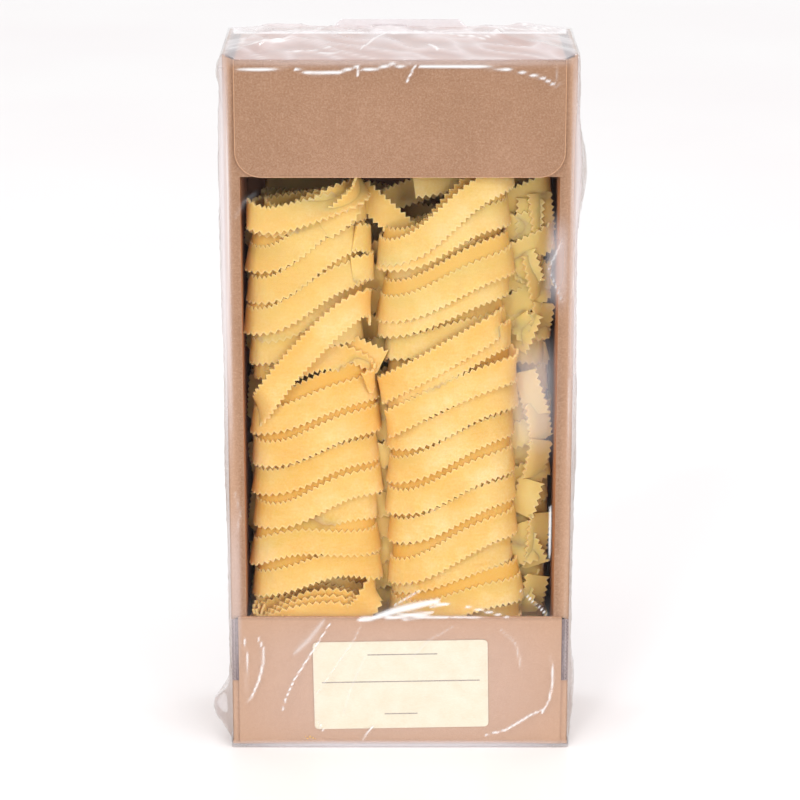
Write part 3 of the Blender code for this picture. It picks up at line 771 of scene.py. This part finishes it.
def windFrontNest(number, node, nest):
    place = ((nest["middleX"], frontColumn["y"]), (nest["halfX"], frontColumn["halfY"]))
    top = node.endswith("top")
    chains = []
    for inset, raised, stop, tint in nestLayers["frontTop" if top else "front"]:
        draw = random.Random(100 + number)
        chains.append((windCoil(*place, nest["turns"], draw, inset, raised, nest["end"], stop), tint))
    if node in nestLayers["footed"]:
        inset, raised, stop, tint = nestLayers["foot"]
        first = nest["turns"][:1]
        draw = random.Random(100 + number)
        chains.append((windCoil(*place, first, draw, inset, raised, first[0][0], stop), tint))
    chains += [(layPass(points), 0) for points in loosePasses.get(node, {}).values()]
    if node == "nest_front_left_base":
        chains += [(layHairpin(layer), 0.12 * layer) for layer in range(hairpin["layers"])]
        chains.append((layPass(hairpin["behind"]), 0.6))
    return finishNest(node, chains, number, nestLayers["topPaintedDimShade"] if top else 0.0)


def windBackNest(number, side, level):
    node = f"nest_back_{side}_{level}"
    foot, count = backColumns["levels"][level]
    pitch = backColumns["leftTop"] if node == "nest_back_left_top" else backColumns["pitch"]
    draw = random.Random(200 + number)
    turns = []
    for i in range(count):
        rise = backColumns["rise"] * (0.2 if level == "base" and i == 0 else draw.uniform(0.7, 1.1))
        wander = [draw.uniform(*span) for span in backColumns["wander"].values()]
        turns.append((foot + pitch * i, foot + pitch * i + rise, *wander))
    x, halfX = backColumns["columns"][side]
    place = ((x, backColumns["y"]), (halfX, backColumns["halfY"]))
    chains = []
    for inset, raised, stop, tint in nestLayers["back"]:
        chains.append((windCoil(*place, turns, draw, inset, raised, None, stop), tint))
    chains += [(passed, 0.1) for passed in fillStrip(side, level, draw)]
    chains += [(layPass(points), 0.1) for points in sideCurls.get(node, ())]
    for x, y, low, high, face, slant in uprightEnds.get(node, ()):
        chains.append((layPass((
            (x - slant, y + 1.5, low, face, 6), (x, y, (low + high) / 2, face, 0),
            (x + slant, y + 1.0, high, face, -6),
        ), 6), 0.05))
    return finishNest(node, chains, number, nestLayers["backPaintedDimShade"])


def makeNests():
    faces = 0
    for number, (node, nest) in enumerate(frontNests.items()):
        faces += windFrontNest(number, node, nest)
    number = len(frontNests)
    for side in backColumns["columns"]:
        for level in backColumns["levels"]:
            faces += windBackNest(number, side, level)
            number += 1
    print("pasta wound:", faces, "faces")


makeNests()

film = {
    "halfX": 61.75, "front": -28.75, "back": 28.55, "bottom": 0.05, "corner": 1.2,
    "foldTop": 254.1, "wallTop": 255.9, "wallFrom": 57.4, "wallTo": 60.8,
    "step": 0.85, "sideStep": 1.5, "rowStep": 1.0, "lapHalf": 7.0, "lapRise": 0.5,
    "tailY": 21.0, "tailFoot": 257.4, "tailTop": 260.2, "tailHalfFoot": 24.0, "tailHalfTop": 21.0,
    "rings": 22, "crimp": 0.35, "crimpRate": 5.2, "ribs": 8, "ripple": 0.14,
    "slack": {"softSize": 15.0, "soft": 0.7, "foldSize": 7.0, "fold": 0.35},
    # Where the front is drawn in to the nests: middle x and z, half sizes, depth
    "drawnIn": (51.0, 180.0, 4.0, 9.0, 2.6),
}

# Creases: the places that each runs through, its height, its width and its whiteness, which is partly real
# stress whitening and partly painted highlight, in (x, z) on the front and the back and in (x, y) on the top
frontCreases = (
    (((-56.8, 250), (-47.2, 250.3), (-37.7, 251)), 0.5, 0.75, 1),
    (((-35.9, 250.3), (-30.1, 249), (-21.2, 249.3), (-16.4, 250.7), (-14.4, 251.4)), 0.6, 1, 1),
    (((-14, 251.7), (-14.4, 247.9)), 0.6, 0.75, 1),
    (((-13.4, 250), (-7.5, 250.7), (-2.7, 252.1), (0, 251.4), (4.1, 252.1)), 0.5, 0.85, 1),
    (((5.1, 251.4), (3.1, 247.9), (2.4, 245.8)), 0.5, 0.6, 1),
    (((6.2, 251.4), (17.1, 251.4), (27.4, 251.2), (35.3, 250.5), (42.1, 249.3)), 0.5, 0.8, 1),
    (((42.1, 249.3), (49, 247.4), (53.5, 244.6), (55.2, 245.2)), 0.5, 0.8, 0.9),
    (((53.4, 252.1), (53.5, 245.8)), 0.3, 0.5, 0.8),
    (((-56.5, 42.5), (-55.5, 35.1), (-55.9, 25.8), (-55.8, 18)), 0.5, 0.6, 0.8),
    (((-51.6, 42.9), (-49.7, 38.3), (-49.8, 32), (-51.3, 25.8), (-53.9, 19.5), (-56.2, 16.8)), 0.5, 0.8, 0.9),
    ((
        (-25, 48.3), (-29.7, 40.6), (-33.4, 34.4), (-38.6, 25.8), (-41.6, 18.7), (-42.9, 13.6),
    ), 0.5, 0.55, 0.95),
    (((-14.1, 47.5), (-16.7, 41.4), (-23.3, 31.3), (-29.9, 21.1)), 0.3, 0.7, 0.5),
    (((-27.5, 49.1), (-32.6, 42.1), (-38.5, 35.9)), 0.5, 2.4, 0.42),
    (((-30, 10.1), (-27.8, 5.4)), 0.4, 0.6, 0.8),
    (((-12.3, 35.9), (-18.2, 21.9), (-21.2, 10.9)), 0.3, 0.9, 0.42),
    (((-9.9, 7.7), (-13.9, 2.2)), 0.5, 0.6, 0.9),
    (((-15.2, 49.5), (-9, 49.9)), 0.6, 1.6, 1),
    (((-10.1, 49.9), (-1.8, 52.9), (9, 55.6), (14.4, 56.8)), 0.7, 2.3, 0.95),
    (((-6, 49.8), (4, 51.2), (12, 52)), 0.6, 1.5, 0.95),
    (((1, 49.4), (9, 50.4), (17, 50.2)), 0.4, 1.2, 0.8),
    (((-2, 55), (4, 58.6), (7, 60.4)), 0.4, 1, 0.6),
    (((10.8, 54.5), (18, 55.6)), 0.5, 1.1, 0.95),
    (((23.5, 54.5), (32.5, 52.2), (39.8, 49.9)), 0.5, 0.8, 0.8),
    (((14, 49.8), (24, 50.4), (34, 49.6)), 0.4, 0.7, 0.7),
    (((54.8, 35.5), (55.7, 25.8), (54.3, 18), (51.5, 12.1)), 0.5, 0.7, 0.85),
    (((31.1, 4.2), (38.4, 6.2), (47.5, 12.1), (52.9, 14.8)), 0.5, 0.8, 0.9),
    (((20, 47), (10, 41), (2, 32)), 0.3, 0.8, 0.4),
    (((36, 46), (42, 40), (44, 30)), 0.3, 0.9, 0.45),
    (((53.6, 92.9), (53.9, 72.1)), 0.3, 0.5, 0.9),
    (((43.3, 60.6), (48.7, 55.6), (55, 49.5)), 0.4, 0.5, 0.9),
    (((52, 179.5), (56.4, 190.2)), 0.7, 0.8, 0.55),
    (((52, 179.5), (57.1, 167.6)), 0.7, 0.8, 0.55),
    (((-60.3, 246), (-59.6, 205), (-60.2, 165), (-60, 120)), 0.3, 1, 0.5),
    (((60.4, 246), (60, 214), (60.5, 170)), 0.3, 0.8, 0.4),
    (((59.6, 140), (60.2, 90), (59.8, 30)), 0.3, 0.7, 0.4),
    (((-57.6, 198), (-54, 204), (-50, 207)), 0.4, 1.4, 0.3),
    (((-59, 98), (-57.2, 90), (-58.6, 82)), 0.3, 0.9, 0.4),
)
topCreases = (
    (((-59.7, -18.7), (-43.5, -8.2), (-38.2, 0.3)), 0.6, 1, 0.8),
    (((-43.5, -8.2), (-39.7, -4.2)), 0.5, 1.6, 1),
    (((-38.2, -18.7), (-22.2, -11.8)), 0.5, 1.2, 0.8),
    (((-38.2, -21.6), (-12.5, -18)), 0.5, 0.9, 0.8),
    (((-4.6, 9), (-14, -17)), 0.6, 1, 0.7),
    (((-22.4, 9), (-11, 16)), 0.4, 1.4, 0.7),
    (((-51, 9), (-32.6, 0.3)), 0.4, 1, 0.5),
    (((-4.2, 9), (9.8, 12.5), (29, 0.3), (38, 12.5), (49, 9), (57, 25)), 0.8, 1.2, 0.9),
    (((9.6, -6.5), (13.6, -17)), 0.5, 1.4, 0.9),
    (((37, -11.8), (57, -15)), 0.4, 2, 0.4),
    (((44, 24), (49.5, 9)), 0.5, 1.2, 0.8),
    (((-56, -22), (-54, 6), (-50, 24)), 0.4, 1.2, 0.5),
)
backCreases = (
    (((-40, 252), (-24, 238), (-9, 228)), 0.6, 1.8, 0.6),
    (((42, 252), (26, 240), (9, 232)), 0.6, 1.8, 0.6),
    (((-9, 40), (-28, 20), (-50, 6)), 0.6, 1.8, 0.6),
    (((9, 36), (30, 18), (52, 5)), 0.6, 1.8, 0.6),
    (((-9, 150), (-26, 146), (-44, 138)), 0.4, 2, 0.35),
    (((9, 118), (24, 122), (40, 130)), 0.4, 2, 0.35),
    (((-58, 240), (-56, 190), (-58.5, 130)), 0.4, 1.8, 0.4),
    (((58, 150), (56.5, 90), (58.5, 30)), 0.4, 1.8, 0.4),
)
# The sides' creases, in (y, z) on the left and mirrored on the right
sideCreases = (
    (((-27, 24), (-19, 14), (-25, 3)), 0.6, 1.6, 0.7),
    (((-26, 250), (-8, 236), (6, 226)), 0.6, 1.8, 0.6),
    (((26, 252), (12, 238), (4, 224)), 0.6, 1.8, 0.5),
    (((-24, 40), (-6, 22), (10, 4)), 0.5, 1.8, 0.5),
    (((24, 34), (14, 18), (10, 4)), 0.5, 1.8, 0.5),
    (((-20, 180), (-4, 172), (14, 168)), 0.4, 2, 0.3),
    (((-16, 96), (2, 104), (20, 106)), 0.4, 2, 0.3),
)

# Soft pale patches of the front sheet, laid in as white haze: painted sheen at the sides and along the top
# fold, and painted light over the lip and over the shaded gap under the tray. Each: middle x and z, half
# sizes, strength
frontVeils = (
    (-61.2, 190, 2, 70, 0.50), (61, 190, 1.6, 70, 0.35), (47.5, 133, 7, 18, 0.26), (0, 24, 62, 26, 0.16),
    (55, 182, 3.6, 14, 0.32), (-59.5, 60, 2.2, 30, 0.25), (0, 253.5, 60, 2, 0.25), (0, 0, 62, 1.6, 0.55),
)

# Ears and slack at the two sides: side, middle y and z, half sizes, how far they stand out
sideEars = (
    (-1, -20, 13, 7, 8, 6), (-1, -16, 196, 15, 42, 1.5), (-1, -14, 110, 14, 30, 0.7),
    (-1, -22, 250, 6, 5, 1.2), (1, -16, 212, 12, 14, 3.4), (1, -18, 120, 12, 34, 0.9),
    (1, -20, 20, 8, 14, 1.6), (-1, 14, 60, 12, 24, 1.2), (1, 15, 150, 12, 30, 1.4),
)


def drawCreases(px, pz, creases):
    # How far each place stands out and how white it is, for all the creases together
    push = np.zeros_like(px)
    white = np.zeros_like(px)
    for places, height, width, whiteness in creases:
        points = np.array(places)
        lengths = np.hypot(*(points[1:] - points[:-1]).T)
        nearest = np.full(px.shape, 1e9)
        share = np.zeros_like(px)
        run = 0.0
        for start, end, length in zip(points, points[1:], lengths):
            ax, az = (end - start) / length
            along = np.clip((px - start[0]) * ax + (pz - start[1]) * az, 0.0, length)
            away = np.hypot(px - start[0] - along * ax, pz - start[1] - along * az)
            closer = away < nearest
            nearest = np.where(closer, away, nearest)
            share = np.where(closer, (run + along) / lengths.sum(), share)
            run += length
        taper = 0.35 + 0.65 * np.sqrt(np.clip(4 * share * (1 - share), 0.0, 1.0))
        push += height * taper * np.exp(-np.abs(nearest / width) ** 1.5)
        white = np.maximum(white, whiteness * np.exp(-(nearest / (0.62 * width * taper)) ** 2))
    return push, white


def filmNoise(px, pz, size, seed):
    flat = [noise.noise(Vector((x / size, z / size, seed))) for x, z in zip(px.ravel(), pz.ravel())]
    return np.array(flat).reshape(px.shape)


def bump(away, reach, power=2):
    # One where the distance is nothing, falling away over the reach
    return np.exp(-np.abs(away / reach) ** power)


def filmGirth():
    # Places round the wrap seen from above, from the back seam anticlockwise, each with the way it faces
    x, front, back, r = film["halfX"], film["front"], film["back"], film["corner"]
    places = []

    def run(start, end, facing, step=film["sideStep"]):
        count = max(1, round((Vector(end) - Vector(start)).length / step))
        for i in range(count):
            t = i / count
            places.append((start[0] + (end[0] - start[0]) * t, start[1] + (end[1] - start[1]) * t, *facing))

    def turn(cx, cy, first):
        for i in range(3):
            a = math.radians(first + 30 * i)
            places.append((cx + r * math.cos(a), cy + r * math.sin(a), math.cos(a), math.sin(a)))

    run((0, back), (-x + r, back), (0, 1))
    turn(-x + r, back - r, 90)
    run((-x, back - r), (-x, front + r), (-1, 0))
    turn(-x + r, front + r, 180)
    run((-x + r, front), (x - r, front), (0, -1), film["step"])
    turn(x - r, front + r, 270)
    run((x, front + r), (x, back - r), (1, 0))
    turn(x - r, back - r, 0)
    run((x - r, back), (0, back), (0, 1))
    return np.array(places).T


def addRing(shape, layers, *measures):
    # A ring of the sheet's points from their x, y, z, whiteness and veil
    ring = []
    for x, y, z, white, veil in np.broadcast(*measures):
        vert = shape.verts.new(Vector((x, y, z)) * mm)
        vert[layers[0]] = float(white)
        vert[layers[1]] = float(veil)
        ring.append(vert)
    return ring


def makeFilm():
    gx, gy, nx, ny = filmGirth()
    wallShare = np.clip((np.abs(gx) - film["wallFrom"]) / (film["wallTo"] - film["wallFrom"]), 0.0, 1.0)
    rim = film["foldTop"] + (film["wallTop"] - film["foldTop"]) * wallShare
    rows = round((film["foldTop"] - film["bottom"]) / film["rowStep"])
    up = np.linspace(0.0, 1.0, rows + 1)[:, None]
    pz = film["bottom"] + (rim - film["bottom"]) * up
    px, py, facesX, facesY = [np.repeat(part[None, :], rows + 1, axis=0) for part in (gx, gy, nx, ny)]
    onFront, onBack = facesY < -0.3, facesY > 0.3
    push, white = drawCreases(px, pz - lift, frontCreases)
    push *= onFront
    white *= onFront
    veil = np.zeros_like(px)
    for x, z, halfX, halfZ, strength in frontVeils:
        blob = np.exp(-(((px - x) / halfX) ** 4) - ((pz - lift - z) / halfZ) ** 4)
        veil = np.maximum(veil, strength * blob)
    veil *= onFront
    # Slack: long soft waves everywhere, sharp small folds near the lip, the top fold and the sides
    slack = film["slack"]
    along = px + gy * 1.3
    soft = np.abs(filmNoise(along, pz * 0.4, slack["softSize"], 3.1)) * slack["soft"]
    folded = 1.0 - np.abs(filmNoise(along, pz * 0.7, slack["foldSize"], 8.7)) * 2.4
    busy = bump(pz - 30.0, 22.0) + bump(pz - 252.0, 5.0) + bump(62.0 - np.abs(px), 3.0)
    folded = np.clip(folded, 0.0, 1.0) ** 3 * np.clip(busy, 0.12, 1.0) * slack["fold"]
    ends = np.clip((pz - film["bottom"]) / 6.0, 0.0, 1.0) * np.clip((rim - pz) / 4.0, 0.0, 1.0)
    push += (soft + folded) * ends
    # A stretch at the right where the sheet is drawn in to the nests
    x, z, halfX, halfZ, depth = film["drawnIn"]
    push -= depth * bump(px - x, halfX) * bump(pz - z, halfZ) * onFront
    for side, y, z, halfY, halfZ, out in sideEars:
        ear = bump(py - y, halfY, 2.4) * bump(pz - lift - z, halfZ, 2.4) * np.clip(side * facesX, 0.0, 1.0)
        push += out * ear * ends
        # painted sheen: the ears are laid in paler as they stand out
        veil = np.maximum(veil, np.minimum(0.3, 0.02 + 0.045 * out) * ear)
    lap = film["lapHalf"] - np.abs(px)
    push += film["lapRise"] * np.clip(lap + 0.5, 0.0, 1.0) * onBack
    white = np.maximum(white, 0.55 * bump(lap, 0.5) * onBack)
    veil = np.maximum(veil, 0.10 * (lap > 0) * onBack)
    for across, sheet, creases in (
        (px, onBack, backCreases), (py, facesX < -0.5, sideCreases), (-py, facesX > 0.5, sideCreases),
    ):
        raised, pale = drawCreases(across, pz - lift, creases)
        push += raised * sheet
        white = np.maximum(white, pale * sheet)

    shape = bmesh.new()
    layers = (shape.verts.layers.float.new("creaseWhiteAndGlint"), shape.verts.layers.float.new("veil"))
    grid = []
    for i in range(rows + 1):
        grid.append(addRing(shape, layers, gx + nx * push[i], gy + ny * push[i], pz[i], white[i], veil[i]))
    grid += closeTop(shape, gx, gy, ny, rim, layers)
    for low, high in zip(grid, grid[1:]):
        for k in range(len(gx)):
            n = (k + 1) % len(gx)
            shape.faces.new((low[k], low[n], high[n], high[k]))
    shape.faces.new(grid[0][::-1])
    shape.faces.new(grid[-1])
    mesh = endPiece(shape, "film_wrap", wrapFilm, "film")
    mesh.shade_smooth()
    print("film drawn:", len(mesh.polygons), "faces")


def closeTop(shape, gx, gy, ny, rim, layers):
    # The end fold: rings that run in over the top panel to the crimped tail, and the tail's ribbed fin
    rows = []
    target = film["tailHalfFoot"] / film["halfX"]
    for ring in range(1, film["rings"] + 1):
        t = ring / film["rings"]
        x = gx * (1 + (target - 1) * t)
        y = gy + (film["tailY"] + 0.25 * ny - gy) * t
        push, white = drawCreases(x, y, topCreases)
        folded = 1.0 - np.abs(filmNoise(x + 0.6 * y, y * 0.8, 11.0, 21.3)) * 2.2
        folded = np.clip(folded, 0.0, 1.0) ** 2 * 0.9
        soft = filmNoise(x, y, 20.0, 5.5) * 0.8 + 0.8
        inside = np.clip(4 * t * (1.02 - t), 0.0, 1.0)
        seam = bump(x + 3.4, 6.6, 8) * (y > 8.0)
        z = rim + (film["tailFoot"] - rim) * t ** 1.6 + (push + folded + soft) * inside
        z = z + seam * film["crimp"] * (1 + np.sin(y * film["crimpRate"]))
        # Painted highlight and painted sheen on the end fold's folds and seam, partly the gathered film's
        # real haze
        white = np.maximum(np.maximum(white, 0.3 * folded), 0.35 * seam)
        rows.append(addRing(shape, layers, x, y, z, white, 0.40 + 0.24 * folded + 0.14 * seam))
    for rib in range(1, film["ribs"] + 1):
        t = rib / film["ribs"]
        narrow = 1 + (film["tailHalfTop"] / film["tailHalfFoot"] - 1) * t
        y = film["tailY"] + 0.25 * ny + film["ripple"] * (1 if rib % 2 else -1)
        z = film["tailFoot"] + (film["tailTop"] - film["tailFoot"]) * t
        rows.append(addRing(shape, layers, gx * target * narrow, y, z, 0.30, 0.45))
    return rows


makeFilm()

for node, finish in (("tray", kraftBoard), ("label", labelPaper)):
    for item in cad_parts[node].material_slots:
        item.material = finish

# The board's cut edges: the flap's outline, the lip's top and the open ends of the walls in the slots
trims = {
    "flapX": 57.3, "flapTop": 253.4, "flapBottom": 212.2, "flapCorner": 9.0, "burr": 0.32, "frontY": -28.0,
    "lipX": 58.4, "lipZ": 49.6, "lipSteps": 160, "board": 1.2,
    "slotInner": 58.7, "slotOuter": 61.1, "slotLow": 25.4, "slotHigh": 49.2, "flutePitch": 1.5,
}


def addTube(shape, places, wide, deep):
    # A bar of rectangular section through the places, which lie in one upright plane facing the front
    rings = []
    for i, (x, y, z) in enumerate(places):
        ahead = Vector(places[min(i + 1, len(places) - 1)]) - Vector(places[max(i - 1, 0)])
        across = Vector((-ahead.z, 0.0, ahead.x)).normalized() * wide / 2
        ring = []
        for side, back in ((-1, -1), (1, -1), (1, 1), (-1, 1)):
            ring.append(shape.verts.new((Vector((x, y + back * deep / 2, z + lift)) + across * side) * mm))
        rings.append(ring)
    for low, high in zip(rings, rings[1:]):
        for k in range(4):
            shape.faces.new((low[k], low[(k + 1) % 4], high[(k + 1) % 4], high[k]))
    shape.faces.new(rings[0][::-1])
    shape.faces.new(rings[-1])


def makeTrims():
    t = trims
    front = t["frontY"]
    shape = bmesh.new()
    x, corner, low = t["flapX"] - t["burr"] / 2, t["flapCorner"], t["flapBottom"] + t["burr"] / 2
    outline = [(-x, front, t["flapTop"])]
    for side, first in ((-1, 180), (1, 270)):
        for i in range(13):
            a = math.radians(first + 7.5 * i)
            outline.append((
                side * (x - corner) + corner * math.cos(a), front, low + corner + corner * math.sin(a),
            ))
    outline.append((x, front, t["flapTop"]))
    addTube(shape, outline, t["burr"], 0.2)
    rough = []
    for i in range(t["lipSteps"] + 1):
        x = t["lipX"] * (2 * i / t["lipSteps"] - 1)
        rise = 0.16 * noise.noise(Vector((x * 0.45, 3.0, 0.0)))
        rough.append((x, front + t["board"] / 2, t["lipZ"] + 0.04 + rise))
    addTube(shape, rough, 0.3, t["board"] - 0.1)
    endPiece(shape, "board_cut_edges", cutBoard)
    shape = bmesh.new()
    low, high = t["slotLow"], t["slotHigh"]
    for side in (-1, 1):
        middle = side * (t["slotInner"] + t["slotOuter"]) / 2
        half = (t["slotOuter"] - t["slotInner"]) / 2
        # Painted shade: a flat strip of the shaded flute material fills the slot's dark hollow
        addTube(shape, [(middle, front - 0.06, z) for z in (low, (low + high) / 2, high)], half * 2, 0.1)
        # The flutes run as a zigzag between the two liners
        middle += side * half * 0.5
        half *= 0.42
        count = round((high - low) / t["flutePitch"] * 2)
        wave = []
        for i in range(count + 1):
            wave.append((middle + half * (1 if i % 2 else -1), front - 0.16, low + (high - low) * i / count))
        addTube(shape, wave, 0.26, 0.14)
        for x in (middle - half, middle + half):
            addTube(shape, [(x, front - 0.15, z) for z in (low, high)], 0.2, 0.12)
    endPiece(shape, "wall_flutes", fluteMediumInShade)


# Plain rules across the label, turned a little with it: left and right end, height
rules = {
    "middle": (0.3, 23.8), "turn": 1.0, "y": -28.52, "wide": 0.45,
    "lines": ((-11.6, 13.8, 35.6), (-28.4, 29.1, 25.1), (-5.8, 6.2, 12.5)),
}


def makeRules():
    shape = bmesh.new()
    middleX, middleZ = rules["middle"]
    c, s = math.cos(math.radians(rules["turn"])), math.sin(math.radians(rules["turn"]))
    for left, right, z in rules["lines"]:
        ends = []
        for x in (left, right):
            ax, az = x - middleX, z - middleZ
            ends.append((middleX + ax * c - az * s, rules["y"], middleZ + ax * s + az * c))
        addTube(shape, ends, rules["wide"], 0.04)
    endPiece(shape, "label_rules", ruleInk)


# Crumbs of pasta that have fallen inside the film in front of the board: x, y, z and size
crumbs = (
    (-33.9, -28.35, 2.6, 0.8), (-32.9, -28.36, 3.2, 1.1), (-31.8, -28.35, 2.8, 0.9),
    (-34.6, -28.35, 3.4, 0.5), (-42.6, -27.6, 50.3, 0.8), (-40.2, -27.5, 50.4, 0.7), (-31, -28.35, 2.5, 0.5),
)


def makeCrumbs():
    draw = random.Random(8)
    shape = bmesh.new()
    for x, y, z, size in crumbs:
        made = bmesh.ops.create_icosphere(shape, subdivisions=1, radius=size / 2 * mm)
        for vert in made["verts"]:
            vert.co *= draw.uniform(0.7, 1.2)
            vert.co.y *= 0.3 / size
            vert.co += Vector((x, y, z + lift)) * mm
    mesh = endPiece(shape, "pasta_crumbs", eggPasta)
    for name, value in (("across", 0.0), ("tint", 0.4), ("paintedDimShade", 0.0)):
        mesh.attributes.new(name, "FLOAT", "POINT").data.foreach_set("value", [value] * len(mesh.vertices))


makeTrims()
makeRules()
makeCrumbs()
print("trims, rules and crumbs added")

stage = {
    "floorSize": 9.0, "fieldOfView": 15.27, "cameraY": -1.0405, "cameraZ": 0.4345, "pitch": 16.6,
    "world": 0.62, "backdrop": 0.95,
    # Each sun: the way towards it, its strength and its softness in degrees
    "suns": {
        "key": ((-0.35, -0.9, 0.7), 0.60, 12.0), "fill": ((0.55, -1.0, 0.35), 0.5, 12.0),
        "overhead": ((0.05, -0.2, 1.0), 0.68, 40.0),
    },
    # Each strip lamp: its place, its width and height, its power
    "strips": {
        "stripLeft": ((-0.62, -0.75, 0.55), 0.03, 0.7, 1.3),
        "stripRight": ((0.66, -0.7, 0.5), 0.03, 0.7, 1.3),
        "stripTop": ((0.0, 0.25, 0.95), 0.8, 0.04, 1.6),
        "tableGlow": ((0.0, -0.42, 0.03), 0.6, 0.12, 0.32),
    },
}


def addLamp(name, kind, power, place, aim, **settings):
    lamp = bpy.data.lights.new(name, kind)
    lamp.energy = power
    for setting, value in settings.items():
        setattr(lamp, setting, value)
    made = linkObject(name, lamp)
    made.location = place
    made.rotation_euler = (Vector(aim) - Vector(place)).to_track_quat("-Z", "Y").to_euler()
    made.visible_glossy = name != "tableGlow"


def makeStage():
    bpy.ops.mesh.primitive_plane_add(size=stage["floorSize"], location=(0.0, 0.0, 0.0))
    floor = bpy.context.object
    floor.name = "floor"
    # Moulded white acrylic sheet, polished: it shows a soft reflection of what stands on it
    made, add = startMaterial("whiteAcrylicTable")
    colour = layered(add, ((1, grain(add, 0.003, 2), (0.3, "#FAF5F6"), (0.7, "#FDFBFB")),))
    endMaterial(add, colour, 0.22, more={"Specular IOR Level": 0.4})
    floor.data.materials.append(made)
    for name, (way, strength, soft) in stage["suns"].items():
        addLamp(name, "SUN", strength, way, (0, 0, 0), angle=math.radians(soft))
    for name, (place, width, height, power) in stage["strips"].items():
        addLamp(name, "AREA", power, place, (0, 0, 0.13), shape="RECTANGLE", size=width, size_y=height)
    scene = bpy.context.scene
    scene.world = bpy.data.worlds.new("studio")
    scene.world.use_nodes = True
    tree = scene.world.node_tree
    backdrop = tree.nodes["Background"]
    backdrop.inputs["Color"].default_value = (1.0, 1.0, 1.0, 1.0)
    # The backdrop is white where it is seen and reflected, and lights the table more softly
    add = partial(addNode, tree)
    known = dict(add("ShaderNodeLightPath", out=None).items())
    workOut(add, known, (
        ("light", "MAXIMUM", "Is Camera Ray", "Is Glossy Ray"),
        ("light", "MULTIPLY", "light", stage["backdrop"] - stage["world"]),
        ("light", "ADD", "light", stage["world"]),
    ))
    tree.links.new(known["light"], backdrop.inputs["Strength"])
    scene.view_settings.view_transform = "Standard"
    lens = bpy.data.cameras.new("camera")
    lens.sensor_width = 36.0
    lens.lens = 18.0 / math.tan(math.radians(stage["fieldOfView"] / 2))
    camera = linkObject("camera", lens)
    camera.location = (0.0, stage["cameraY"], stage["cameraZ"])
    camera.rotation_euler = (math.radians(90 - stage["pitch"]), 0.0, 0.0)
    scene.camera = camera
    print("stage set")


makeStage()
